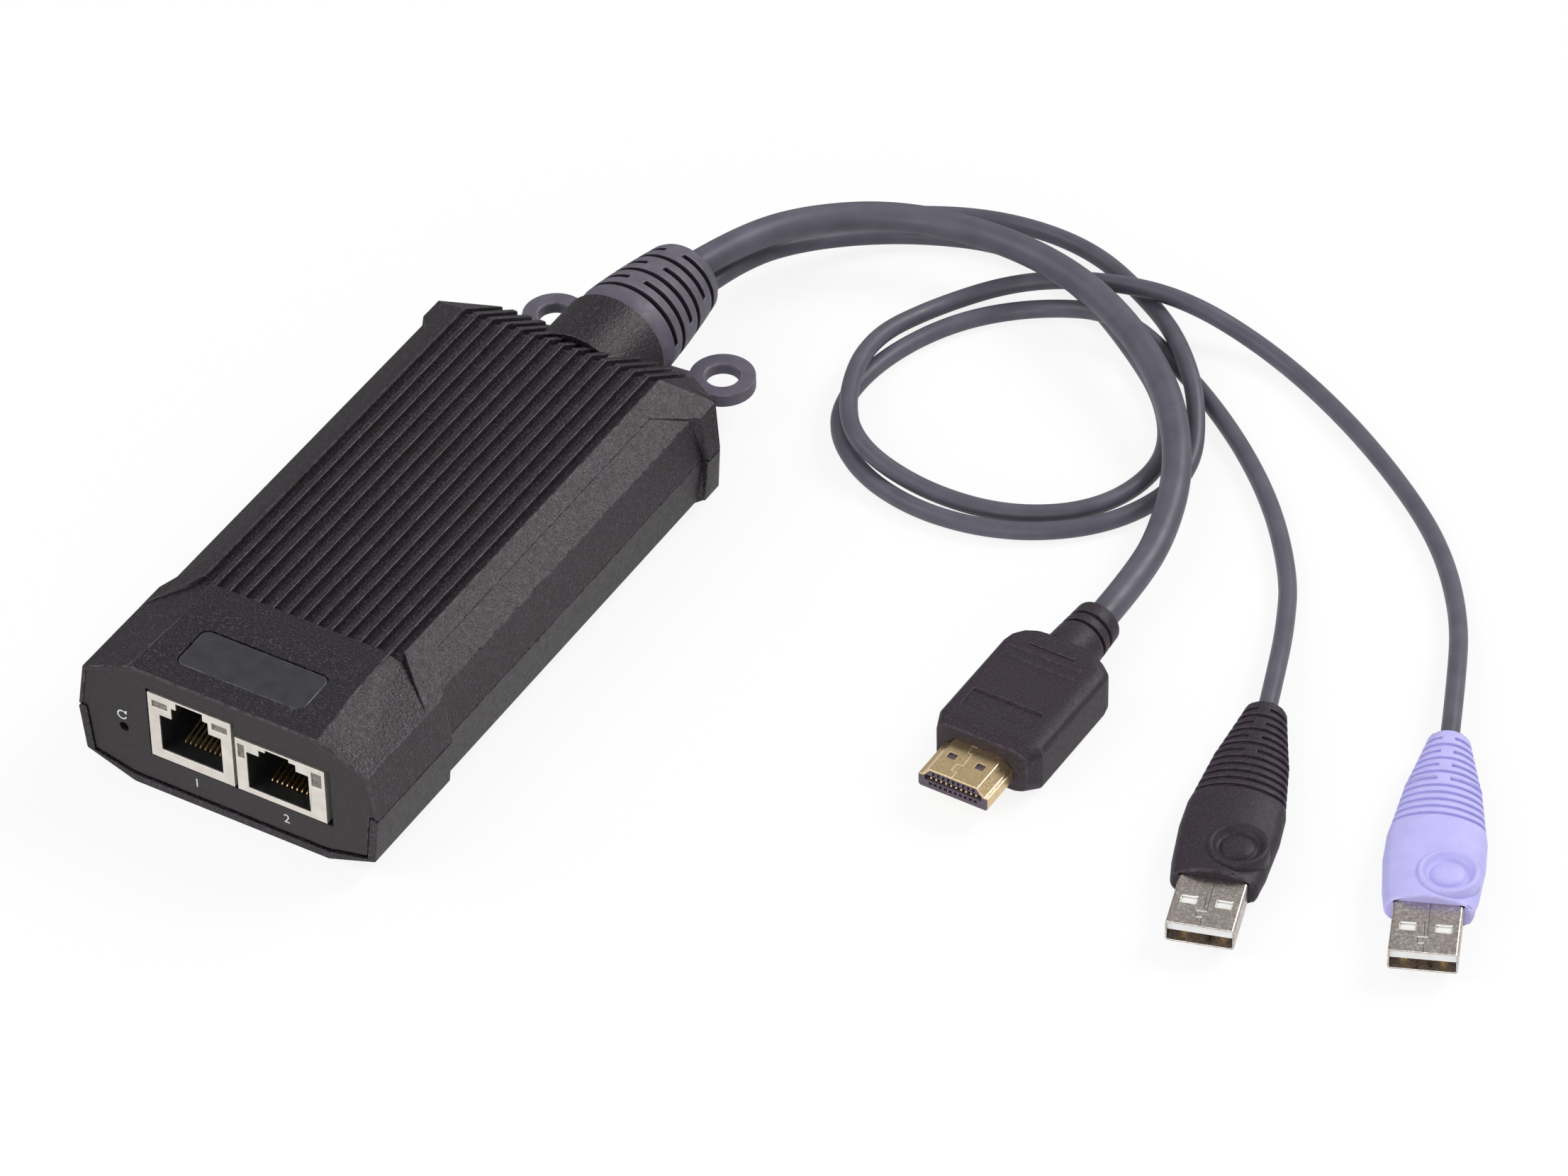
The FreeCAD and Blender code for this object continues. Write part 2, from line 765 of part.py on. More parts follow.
def bottom_cover():
    view = prism("lower_view", "XZ", FRONT, "case_length", both_sides(LOWER_VIEW))
    block = common("lower_block", view, plan_prism("lower_plan"))
    shaped = cut("lower_shaped", block, *lower_waist())
    shell = cut("lower_shell", shaped, doc.getObject("cavity"))
    reach = f"panel_thick + panel_gap + {OVERSHOOT}"
    mouth = prism("front_mouth", "XZ", f"{FRONT} - {OVERSHOOT}", reach, both_sides([
        ("belt_half - wall", f"belt_height + {OVERSHOOT}"),
        ("belt_half - wall", "belt_height"),
        ("skirt_half - wall", "skirt_height"),
        ("base_half", "wall"),
    ]))
    open_front = cut("lower_open", cut("lower_mouthed", shell, mouth), *seam_cutters())
    feet = []
    holes = []
    for step, (across, along) in enumerate(post_places()):
        feet.append(rod(f"foot_{step}", "z", (across, along, 0), "foot_radius", "board_bottom"))
        holes.append(rod(f"screw_hole_{step}", "z", (across, along, 0), "screw_radius + screw_gap",
                         "top_height"))
        holes.append(rod(f"head_hole_{step}", "z", (across, along, f"-{OVERSHOOT}"),
                         "head_radius + head_gap", f"head_set + head_height + {OVERSHOOT}"))
    boss = boss_half("lower_boss", "boss_height - boss_radius", "belt_height - boss_height + boss_radius")
    solid = fuse("lower_solid", open_front, boss, *feet)
    bored = cut("lower_bored", solid, *boss_bore("lower_neck"))
    return part(cut("lower_done", bored, fuse("foot_holes", *holes)), "bottom_cover")


def name_plate():
    block = plate_block("plate_block", 0, PLATE_FLOOR, "plate_recess + brow_drop")
    fall = "brow_drop / brow_length"
    near = f"(top_height - brow_drop - plate_under + plate_set * {fall})"
    wedge = prism("plate_wedge", "YZ", "-plate_width", "2 * plate_width", [
        (f"{FRONT} + plate_set", PLATE_FLOOR),
        (f"{FRONT} + plate_set", near),
        (f"{FRONT} + plate_set + plate_run", f"{near} + plate_run * {fall}"),
        (f"{FRONT} + plate_set + plate_run", PLATE_FLOOR),
    ])
    return part(common("plate_done", block, wedge), "name_plate")


def cover_screws():
    screws = []
    for step, (across, along) in enumerate(post_places()):
        head = rod(f"screw_head_{step}", "z", (across, along, "head_set"), "head_radius", "head_height")
        shank = rod(f"screw_shank_{step}", "z", (across, along, "head_set + head_height"),
                    "screw_radius", "screw_length")
        screws.append(fuse(f"screw_{step}", head, shank))
    return part(group("screws_done", *screws), "cover_screws")


def relief_body(name, shrink):
    """The cone of the strain relief, from its flange to its rounded end."""
    return loft(
        name,
        ring(f"{name}_root", BOSS_FACE, "boss_height", f"boss_radius - {shrink}"),
        ring(f"{name}_flange", f"{BOSS_FACE} + flange_length", "boss_height", f"boss_radius - {shrink}"),
        ring(f"{name}_tip", f"{GLAND} - relief_round", "relief_height", f"relief_radius - {shrink}"),
        ring(f"{name}_end", GLAND, "relief_height", f"relief_end_radius - {shrink}"),
    )


def relief_slots():
    """Rows of slots around the cone: whole arcs above and below, then arcs with a bridge."""
    reach = "(2 * boss_radius)"
    rows = []
    for step in range(SLOT_ROWS):
        along = f"{BOSS_FACE} + flange_length + {step} * slot_pitch"
        if step % 2 == 0:
            upper = (f"-{reach}", along, "boss_height")
            lower = (f"-{reach}", along, f"relief_height - slot_pitch - {reach}")
            rows.append(box(f"slot_upper_{step}", upper, (f"2 * {reach}", "slot_width", reach)))
            rows.append(box(f"slot_lower_{step}", lower, (f"2 * {reach}", "slot_width", reach)))
        else:
            side = box(f"slot_side_{step}", ("slot_bridge / 2", along, "relief_height - slot_pitch"),
                       (reach, "slot_width", reach))
            rows.append(side)
            rows.append(mirrored(f"slot_other_{step}", side))
    return cut("relief_slots", group("relief_slot_rows", *rows), relief_body("relief_core", "slot_depth"))


def strain_relief():
    neck = rod("relief_neck", "y", (0, f"{BOSS_FACE} - neck_length", "boss_height"),
               "neck_radius", "neck_length")
    collar = rod("relief_ring", "y", (0, f"{BOSS_FACE} - ring_set", "boss_height"),
                 "ring_radius", "ring_width")
    cone = cut("relief_slotted", relief_body("relief_cone", 0), relief_slots())
    along = f"({BOSS_FACE} + ear_set)"
    eye = rod("ear_eye", "z", ("ear_half", along, "ear_bottom"), "ear_radius", "ear_thick")
    arm = box("ear_arm", ("arm_root", BOSS_FACE, "ear_bottom"),
              ("ear_half - arm_root - ear_hole", "arm_width", "ear_thick"))
    hole = rod("ear_hole", "z", ("ear_half", along, f"ear_bottom - {OVERSHOOT}"), "ear_hole",
               f"ear_thick + {2 * OVERSHOOT}")
    ear = cut("ear_right", fuse("ear_solid", eye, arm), hole)
    return part(fuse("relief_done", neck, collar, cone, ear, mirrored("ear_left", ear)), "strain_relief")


def main_board():
    slab = box("board_slab", ("-board_half", BOARD_FRONT, "board_bottom"),
               ("2 * board_half", f"{BOARD_END} - {BOARD_FRONT}", "board_thick"))
    holes = []
    for step, (across, along) in enumerate(post_places()):
        holes.append(rod(f"board_hole_{step}", "z", (across, along, 0), "screw_radius + board_hole_gap",
                         "top_height"))
    return part(cut("board_done", slab, *holes), "main_board")


def on_board(name, center, near, width, run, height):
    """A block that stands on the board."""
    return box(name, (f"{center} - ({width}) / 2", near, BOARD_TOP), (width, run, height))


def board_pieces():
    part(on_board("processor", "processor_x", "processor_y - processor_side / 2", "processor_side",
                  "processor_side", "processor_height"), "processor_chip")
    chips = []
    for step in range(2):
        near = f"memory_y + {step} * memory_pitch"
        chips.append(on_board(f"memory_{step}", "memory_x", near, "memory_width", "memory_run",
                              "memory_height"))
    part(group("memory", *chips), "memory_chips")
    part(on_board("transformer", "transformer_x", "transformer_y", "transformer_width", "transformer_run",
                  "transformer_height"), "network_transformer")
    near = f"{BOARD_END} - header_set - header_run"
    headers = [on_board("video_header", 0, near, "video_header_width", "header_run", "header_height")]
    for side in ("-", ""):
        headers.append(on_board("data_header", f"{side}data_header_x", near, "data_header_width",
                                "header_run", "header_height"))
    part(group("headers", *headers), "lead_headers")


def reset_switch():
    body = on_board("switch_block", RESET, SWITCH_FACE, "switch_width", "switch_run", "switch_height")
    pocket = rod("switch_pocket", "y", (RESET, SWITCH_FACE, "reset_height"),
                 "plunger_radius + plunger_gap", "plunger_in + plunger_travel + plunger_gap")
    part(cut("switch_done", body, pocket), "reset_switch_body")
    part(rod("plunger", "y", (RESET, f"{SWITCH_FACE} - plunger_out", "reset_height"), "plunger_radius",
             "plunger_out + plunger_in"), "reset_plunger")


def jack(label, center, kind):
    """A jack: a folded shield, an insert with a keyed mouth, eight contacts and two lamps."""
    floor = f"({BOARD_TOP} + {kind}_floor)"
    top = f"({CEILING} - {kind}_roof)"
    height = f"({top} - {BOARD_TOP})"
    inner = "(jack_width - 2 * sheet)"

    def mouth(name, near, run):
        low = box(f"{name}_low", (f"{center} - mouth_width / 2", near, floor),
                  ("mouth_width", run, f"{top} - {kind}_lintel - {floor}"))
        step = box(f"{name}_step", (f"{center} - {kind}_step / 2", near, floor),
                   (f"{kind}_step", run, f"{top} - {kind}_step_drop - {floor}"))
        key = box(f"{name}_key", (f"{center} - {kind}_key / 2", near, floor),
                  (f"{kind}_key", run, f"{top} - sheet - {floor}"))
        return fuse(name, low, step, key)

    def lamps(name, near, run):
        blocks = []
        for side in ("-", ""):
            middle = f"({center} + {side}1 * {kind}_lamp_out)"
            corner = (f"{middle} - {kind}_lamp_width / 2", near,
                      f"{top} - {kind}_lamp_drop - {kind}_lamp_height / 2")
            blocks.append(box(f"{name}_block", corner, (f"{kind}_lamp_width", run, f"{kind}_lamp_height")))
        return group(name, *blocks)

    case = box(f"{label}_case", (f"{center} - jack_width / 2", FRONT, BOARD_TOP),
               ("jack_width", "jack_depth", height))
    room = box(f"{label}_room", (f"{center} - {inner} / 2", f"{FRONT} + sheet", f"{BOARD_TOP} - sheet"),
               (inner, "jack_depth - 2 * sheet", height))
    front = mouth(f"{label}_front", f"{FRONT} - {OVERSHOOT}", f"{OVERSHOOT} + sheet")
    panes = lamps(f"{label}_panes", f"{FRONT} - {OVERSHOOT}", f"{OVERSHOOT} + 2 * sheet")
    folded = cut(f"{label}_folded", case, room, front)
    part(cut(f"{label}_shield", folded, panes), f"{label}_shield")

    block = box(f"{label}_block", (f"{center} - {inner} / 2", f"{FRONT} + sheet", BOARD_TOP),
                (inner, "jack_depth - 2 * sheet", f"{height} - sheet"))
    hollow = mouth(f"{label}_hollow", FRONT, "mouth_depth")
    pockets = lamps(f"{label}_pockets", FRONT, "lamp_depth")
    hollowed = cut(f"{label}_hollowed", block, hollow)
    part(cut(f"{label}_insert", hollowed, pockets), f"{label}_insert")

    contacts = []
    near = f"{FRONT} + contact_set"
    far = f"{FRONT} + mouth_depth"
    for step in range(CONTACTS):
        across = f"{center} + {step - (CONTACTS - 1) / 2} * contact_pitch - contact_width / 2"
        contacts.append(prism(f"{label}_contact_{step}", "YZ", across, "contact_width", [
            (near, floor),
            (far, f"{floor} + contact_rise"),
            (far, f"{floor} + contact_rise + contact_thick"),
            (near, f"{floor} + contact_thick"),
        ]))
    part(group(f"{label}_contacts", *contacts), f"{label}_contacts")
    part(lamps(f"{label}_lamps", FRONT, "lamp_depth"), f"{label}_lamps")


# Share of a run that the arc at its end may use
BEND_SHARE = 0.45


def lead(name, radius, points, gland=None):
    """A tube along straight runs joined by tangent arcs, cut off square at the gland's face if given."""
    route = [Vector(*point) for point in points]
    if gland is not None:
        route[0] += (route[0] - route[1]).normalize() * 2 * radius
    edges = []
    start = route[0]
    tightest = math.inf
    for before, corner, after in zip(route, route[1:], route[2:]):
        back = before - corner
        ahead = after - corner
        turn = math.pi - back.getAngle(ahead)
        trim = BEND_SHARE * min(back.Length, ahead.Length)
        bend = trim / math.tan(turn / 2)
        tightest = min(tightest, bend)
        back.normalize()
        ahead.normalize()
        inward = (back + ahead).normalize()
        middle = corner + inward * (math.hypot(bend, trim) - bend)
        edges.append(Part.LineSegment(start, corner + back * trim).toShape())
        edges.append(Part.Arc(corner + back * trim, middle, corner + ahead * trim).toShape())
        start = corner + ahead * trim
    edges.append(Part.LineSegment(start, route[-1]).toShape())
    spine = Part.Wire(edges)
    section = Part.Wire(Part.Circle(route[0], route[1] - route[0], radius).toShape())
    tube = spine.makePipeShell([section], True, False)
    full = math.pi * radius ** 2 * spine.Length
    print(f"{name}: {spine.Length:.1f} long, tightest bend {tightest:.1f}, volume {tube.Volume / full:.4f}")
    if gland is not None:
        side = 8 * radius
        inner = Vector(route[0].x - side / 2, gland - side, route[0].z - side / 2)
        tube = tube.cut(Part.makeBox(side, side, side, inner))
    item = doc.addObject("Part::Feature", name)
    item.Shape = tube
    return part(item, name)


def plug_point(plug, along, height):
    """A point on a plug's axis, as placed on the desk."""
    turn = math.radians(size(f"{plug}_turn"))
    rear = size("case_length") / 2
    across = size(f"{plug}_x") - along * math.sin(turn)
    back = rear + size(f"{plug}_y") + along * math.cos(turn)
    return (across, back, height)


# Lead routes behind the gland: across, back from the gland's face, and height of the centre line
DESK = SIZES["data_lead_radius"] + SIZES["lead_lift"]
VIDEO_ROUTE = (
    (4, 11.5, 14.7), (10.5, 24.5, 13.3), (23.5, 36.4, 11.5), (42, 40.9, 10.4), (60.5, 38.1, 10.4),
    (77.5, 29.5, 10.2), (92, 17.5, 8.6), (102.5, 1.5, 7.3), (107.8, -15.5, 6),
)
BLACK_ROUTE = (
    (-1.6, 13.5, 8.4), (3.5, 31, 4.2), (16.5, 46.3, 2), (34.5, 55.5, DESK), (54, 56.1, DESK),
    (71, 47.7, DESK), (85, 33.8, 7.2), (95.2, 22.1, 5.8), (102.2, 7, DESK), (97.2, -10.5, DESK),
    (83.5, -22.2, DESK), (66, -26.3, DESK), (49, -22.3, DESK), (37, -11, DESK), (35.6, 5.5, DESK),
    (41.8, 23.3, DESK), (53.5, 35.1, 2), (71, 36.8, 6.6), (88, 31.8, 2), (104.5, 20.3, DESK),
    (119, 6.5, DESK), (131, -9, DESK), (137.2, -21, 2.6),
)
LAVENDER_ROUTE = (
    (3.2, 13.5, 8.4), (9.5, 29.5, 4.6), (23, 43, 2), (41, 49.5, DESK), (58, 45, DESK),
    (74, 34.5, DESK), (88.5, 22.5, DESK), (96.5, 7.5, DESK), (92.5, -9, DESK), (79, -19, DESK),
    (62, -21.5, 2.6), (46.8, -19.7, 6.2), (38.2, -8, 6), (33.4, 9, 4.8), (37.3, 26.3, DESK),
    (48.5, 39, 3.6), (64, 43.8, 6.4), (80, 45.3, 7.4), (97, 45.8, 1.9), (117, 36.3, DESK),
    (136, 23.8, DESK), (150.5, 11.5, DESK), (162, -4, 1.9),
)


def leads():
    """The three leads, each from its hole in the gland's face to the tail of its plug."""
    gland = size("case_length") / 2 + size("boss_reach") + size("relief_length")
    straight = size("lead_straight")

    def laid(plug, radius, exit_x, exit_height, route, tail, axis):
        points = [(exit_x, gland, exit_height)]
        points += [(across, gland + back, height) for across, back, height in route]
        points += [plug_point(plug, tail + straight, axis), plug_point(plug, tail, axis)]
        lead(f"{plug}_lead", radius, points, gland)

    laid("video", size("video_lead_radius"), size("video_exit_x"), size("video_exit_height"),
         VIDEO_ROUTE, size("video_neck_end"), size("video_axis"))
    for plug, side, route in (("black", -1, BLACK_ROUTE), ("lavender", 1, LAVENDER_ROUTE)):
        laid(plug, size("data_lead_radius"), side * size("data_exit_x"), size("data_exit_height"),
             route, size("tail_end"), size("data_axis"))


def inner_tails():
    """Short stripped ends from the neck of the strain relief to the headers."""
    face = size("case_length") / 2 + size("boss_reach") - size("neck_length")
    header = size("case_length") / 2 - size("board_rear") - size("header_set")
    level = size("board_bottom") + size("board_thick") + size("header_height") / 2
    run = (face - header) / 3

    def tail(name, radius, exit_x, exit_height, header_x):
        lead(name, radius, [
            (exit_x, face, exit_height),
            (exit_x, face - run, exit_height),
            (header_x, header + run, level),
            (header_x, header, level),
        ])

    tail("video_tail", size("video_tail_radius"), size("video_exit_x"), size("video_exit_height"), 0)
    for side, name in ((-1, "black_tail"), (1, "lavender_tail")):
        tail(name, size("data_tail_radius"), side * size("data_exit_x"), size("data_exit_height"),
             side * size("data_header_x"))


def lay(item, plug):
    """Put a piece of a plug, built along Y from the mouth of its shell, where the plug lies."""
    item.Placement = FreeCAD.Placement(Vector(), FreeCAD.Rotation(Vector(0, 0, 1), 1))
    move(item, f"{plug}_x", f"{REAR} + {plug}_y", 0)
    item.setExpression("Placement.Rotation.Angle", f"{bound(f'{plug}_turn')} * 1 deg")
    return item


def video_outline(inset):
    low = f"(video_axis - video_shell_height / 2 + {inset})"
    return both_sides([
        (f"video_shell_top - {inset}", f"video_axis + video_shell_height / 2 - {inset}"),
        (f"video_shell_half - {inset}", f"{low} + video_shell_side"),
        (f"video_shell_half - {inset}", low),
    ])


def video_plug():
    front = "video_shell_out"
    depth = "video_shell_out + shell_root"
    half = "video_grip_half"
    rise = "video_axis"
    sections = [
        rounded("video_grip_front", front, rise, f"{half} - video_bevel_in", f"{rise} - video_front_drop",
                "video_corner"),
        rounded("video_grip_brow", f"{front} + video_bevel", rise, half, rise, "video_corner"),
    ]
    for step in range(SHOULDER_STEPS + 1):
        turn = step * math.pi / 2 / SHOULDER_STEPS
        along = f"video_grip_end - video_shoulder * {1 - math.sin(turn):.4f}"
        inward = f"video_shoulder * {1 - math.cos(turn):.4f}"
        fall = f"video_shoulder_drop * {1 - math.cos(turn):.4f}"
        sections.append(rounded(f"video_grip_shoulder_{step}", along, rise, f"{half} - {inward}",
                                f"{rise} - {fall}", "video_corner"))
    body = loft("video_grip_body", *sections)
    neck_start = "video_grip_end - slot_width"
    neck = loft("video_neck", ring("video_neck_root", neck_start, rise, "video_neck_radius"),
                ring("video_neck_last", "video_neck_end", rise, "video_neck_tip"))
    grooves = []
    for step in range(NECK_GROOVES):
        along = f"video_grip_end + neck_groove_from + {step} * neck_groove_pitch"
        outer = rod(f"video_neck_band_{step}", "y", (0, along, rise), "2 * video_neck_radius", "neck_groove")
        core = rod(f"video_neck_core_{step}", "y", (0, along, rise), "video_neck_tip - thumb_depth",
                   "neck_groove")
        grooves.append(cut(f"video_neck_groove_{step}", outer, core))
    ridges = []
    for step in range(2):
        along = f"ridge_from + {step} * ridge_pitch"
        ridges.append(box(f"video_ridge_{step}", ("-thumb_half", along, rise),
                          ("2 * thumb_half", "ridge_width", f"{rise} + ridge_rise")))
    thumb = box("video_thumb", ("-thumb_half", "thumb_from", f"2 * {rise} - thumb_depth"),
                ("2 * thumb_half", "thumb_run", "2 * thumb_depth"))
    socket = prism("video_grip_socket", "XZ", 0, depth, video_outline(0))
    solid = fuse("video_grip_solid", body, neck, *ridges)
    grip = cut("video_grip_cut", solid, thumb, socket, *grooves)
    part(lay(grip, "video"), "video_plug_grip")

    outer = prism("video_shell_outer", "XZ", 0, depth, video_outline(0))
    inner = prism("video_shell_inner", "XZ", f"-{OVERSHOOT}", f"{depth} + {2 * OVERSHOOT}",
                  video_outline("video_shell_wall"))
    holes = []
    for side in ("-", ""):
        place = (f"{side}1 * video_shell_top / 2", "video_shell_out / 2", rise)
        holes.append(rod("video_shell_hole", "z", place, "video_pin_pitch", "video_shell_height"))
    part(lay(cut("video_shell", outer, inner, *holes), "video"), "video_plug_shell")

    block = prism("video_insert_block", "XZ", "tongue_set", f"{depth} - tongue_set",
                  video_outline("video_shell_wall"))
    slot = box("video_insert_slot", ("-video_slot_half", 0, f"{rise} - video_slot_height / 2"),
               ("2 * video_slot_half", front, "video_slot_height"))
    part(lay(cut("video_insert", block, slot), "video"), "video_plug_insert")

    pins = []
    for step in range(VIDEO_PINS):
        across = f"{step - (VIDEO_PINS - 1) / 2} * video_pin_pitch - video_pin_width / 2"
        for row, level in (("low", f"{rise} - video_slot_height / 2"),
                           ("high", f"{rise} + video_slot_height / 2 - video_pin_thick")):
            pins.append(box(f"video_pin_{row}_{step}", (across, "2 * tongue_set", level),
                            ("video_pin_width", f"{front} - 2 * tongue_set", "video_pin_thick")))
    part(lay(group("video_pins", *pins), "video"), "video_plug_contacts")


# Half width and half thickness of a data grip as shares of its fullest section, along its run
GRIP_SECTIONS = (
    (0.0, 0.89, 0.92),
    (0.09, 0.96, 1.0),
    (0.3, 1.0, 1.0),
    (0.48, 0.96, 0.98),
    (0.75, 0.76, 0.88),
)


def data_grip_body(name, shrink):
    run = "(tail_end - data_shell_out)"
    sections = []
    for step, (place, wide, thick) in enumerate(GRIP_SECTIONS):
        sections.append(oval(f"{name}_{step}", f"data_shell_out + {place} * {run}", "data_axis",
                             f"(grip_half * {wide} - {shrink})", f"(grip_thick * {thick} - {shrink})",
                             f"(grip_side * {thick} - {shrink})"))
    sections.append(oval(f"{name}_end", "tail_end", "data_axis", f"(tail_half - {shrink})",
                         f"(tail_thick - {shrink})", f"(tail_side - {shrink})"))
    return loft(name, *sections)


def data_tail_grooves(name):
    """Fine grooves around the tail: the last ones turn by turn whole and bridged in the middle."""
    reach = "(2 * grip_half)"
    rows = []
    for step in range(TAIL_GROOVES):
        along = f"tail_end - tail_groove_first - {step} * tail_groove_pitch"
        split = step < SPLIT_TAIL_GROOVES and step % 2 == 0
        start = "tail_bridge / 2" if split else 0
        side = box(f"{name}_side_{step}", (start, along, f"data_axis - {reach}"),
                   (reach, "tail_groove_width", f"2 * {reach}"))
        rows.append(side)
        rows.append(mirrored(f"{name}_other_{step}", side))
    return cut(name, group(f"{name}_rows", *rows), data_grip_body(f"{name}_core", "tail_groove_depth"))


def data_plugs():
    """The two data plugs are the same mouldings in two colours, each laid in its own place."""
    rise = "data_axis"
    depth = "(data_shell_out + shell_root)"
    low = f"({rise} - data_shell_height / 2)"

    def shell_block(name, inset, near, run):
        return box(name, (f"{inset} - data_shell_half", near, f"{low} + {inset}"),
                   (f"2 * (data_shell_half - {inset})", run, f"data_shell_height - 2 * {inset}"))

    crest = f"({rise} + grip_thick + pod_rise)"
    pod = rod("grip_pod", "z", ("pod_x", "pod_y", rise), "pod_radius", f"{crest} - {rise}")
    dish = rod("grip_dish", "z", ("pod_x", "pod_y", f"{crest} - dish_depth"), "dish_radius", "grip_thick")
    trough = rod("grip_trough", "z", ("pod_x", "pod_y", f"{crest} - trough_depth"), "dish_radius",
                 "trough_depth")
    button = rod("grip_button", "z", ("pod_x", "pod_y", rise), "button_radius", "grip_thick")
    body = fuse("data_grip_solid", data_grip_body("data_grip_body", 0), pod)
    socket = shell_block("data_socket", 0, 0, depth)
    dished = cut("data_grip_dished", body, dish, socket)
    ringed = cut("data_grip_ringed", dished, cut("grip_ring", trough, button))
    grip = cut("data_grip", ringed, data_tail_grooves("tail_grooves"))

    outer = shell_block("data_shell_outer", 0, 0, depth)
    inner = shell_block("data_shell_inner", "data_shell_wall", f"-{OVERSHOOT}", f"{depth} + {2 * OVERSHOOT}")
    window = box("data_window_right", ("data_window_out", "data_window_from", f"{rise} - data_shell_height"),
                 ("data_window", "data_window", "2 * data_shell_height"))
    shell = cut("data_shell", outer, inner, window, mirrored("data_window_left", window))

    under = f"{low} + data_shell_height - data_shell_wall - tongue_thick"
    tongue = box("data_tongue", ("data_shell_wall - data_shell_half", "tongue_set", under),
                 ("2 * (data_shell_half - data_shell_wall)", f"{depth} - tongue_set", "tongue_thick"))

    pins = []
    for step in range(DATA_PINS):
        across = f"{step - (DATA_PINS - 1) / 2} * data_pin_pitch - data_pin_width / 2"
        corner = (across, "tongue_set + data_pin_set", f"{under} - data_pin_thick")
        pins.append(box(f"data_pin_{step}", corner, ("data_pin_width", "data_pin_run", "data_pin_thick")))
    contacts = group("data_pins", *pins)

    for plug in ("black", "lavender"):
        for piece, source in (("grip", grip), ("shell", shell), ("tongue", tongue), ("contacts", contacts)):
            label = f"{plug}_plug_{piece}"
            part(lay(group(label, source), plug), label)


top_cover()
bottom_cover()
name_plate()
cover_screws()
strain_relief()
main_board()
board_pieces()
reset_switch()
jack("jack_one", "jack_center", "one")
jack("jack_two", JACK_TWO, "two")
video_plug()
data_plugs()
leads()
inner_tails()
doc.recompute()

for item in doc.Objects:
    if "Invalid" in item.State or "Error" in item.State:
        raise RuntimeError(f"{item.Name} did not build: {item.State}")
os.makedirs("parts", exist_ok=True)
for item in PARTS:
    if item.Shape.isNull() or not item.Shape.isValid() or not item.Shape.Solids:
        raise RuntimeError(f"{item.Label} has no valid solid")
    item.Shape.exportStep(f"parts/{item.Label}.step")
    print(f"{item.Label}: {len(item.Shape.Solids)} solids, {item.Shape.Volume:.1f} cubic mm")
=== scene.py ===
"""Dressed model of the desk extender: finishes, softened edges, leads and fine detail round the solids."""
import math
import bmesh
import bpy
from mathutils import Matrix, Vector
from mathutils.bvhtree import BVHTree


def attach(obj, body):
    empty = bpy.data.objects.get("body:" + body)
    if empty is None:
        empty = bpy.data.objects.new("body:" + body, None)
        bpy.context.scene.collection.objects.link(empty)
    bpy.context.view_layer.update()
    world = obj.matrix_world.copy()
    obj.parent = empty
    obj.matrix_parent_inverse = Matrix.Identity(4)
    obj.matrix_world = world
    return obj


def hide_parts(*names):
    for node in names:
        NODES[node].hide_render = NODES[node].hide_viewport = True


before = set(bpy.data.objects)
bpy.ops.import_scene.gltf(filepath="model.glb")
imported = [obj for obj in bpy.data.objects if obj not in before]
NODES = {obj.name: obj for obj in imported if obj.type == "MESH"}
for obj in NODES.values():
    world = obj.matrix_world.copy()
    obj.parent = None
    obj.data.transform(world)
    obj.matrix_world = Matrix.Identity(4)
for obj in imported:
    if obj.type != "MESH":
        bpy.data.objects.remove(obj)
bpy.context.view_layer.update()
HOUSING = "housing"
MM = 0.001
IN_PLACE = Matrix.Diagonal((MM, MM, MM, 1))


def linked(name, data):
    """A new object in the scene."""
    thing = bpy.data.objects.new(name, data)
    bpy.context.collection.objects.link(thing)
    return thing


def feed(node, inputs):
    """The node, with a value or a link on each input that is named."""
    for label, value in inputs.items():
        if isinstance(value, bpy.types.NodeSocket):
            node.id_data.links.new(value, node.inputs[label])
        else:
            node.inputs[label].default_value = value
    return node


def add_node(tree, kind, inputs=None):
    """A new node with its inputs fed."""
    return feed(tree.nodes.new(kind), inputs or {})


def reckoned(tree, operation, first, second):
    """The socket with the result of arithmetic on two sockets or values."""
    node = tree.nodes.new("ShaderNodeMath")
    node.operation = operation
    return feed(node, {0: first, 1: second}).outputs[0]


def blended(tree, kind, factor, under, over):
    """The socket with a colour or vector between two others."""
    node = tree.nodes.new("ShaderNodeMix")
    node.data_type = kind
    return feed(node, {"Factor": factor, "A": under, "B": over}).outputs["Result"]


def blended_shader(tree, factor, under, over):
    """The socket with a shader between two others."""
    return add_node(tree, "ShaderNodeMixShader", {"Fac": factor, 1: under, 2: over}).outputs[0]


def colour_ramp(tree, factor, stops):
    """The socket with colours that each start at their place between 0 and 1."""
    ramp = add_node(tree, "ShaderNodeValToRGB", {"Fac": factor})
    elements = ramp.color_ramp.elements
    while len(elements) < len(stops):
        elements.new(0.5)
    for element, (at, colour) in zip(elements, stops):
        element.position = at
        element.color = (*colour, 1)
    return ramp.outputs["Color"]


# Camera, floor and light, in metres

MIDDLE = Vector((0.06, 0.03, 0.0))
FILL_COLOUR, FILL_STRENGTH = (0.95, 0.96, 1.0, 1), 0.5
ROOM_GREYS = ((0.02, 0.5), (0.34, 0.3), (0.62, 0.72), (0.84, 0.1))
FLOOR_REACH, FLOOR_GLOW = 6.0, 0.86
FLOOR_WHITE = (0.88, 0.88, 0.88, 1)
MIRROR_RUN = (1.0, -0.6, 0)
MIRROR_FADE = {"From Min": -0.14, "From Max": 0.03, "To Min": 0.2, "To Max": 0.85}


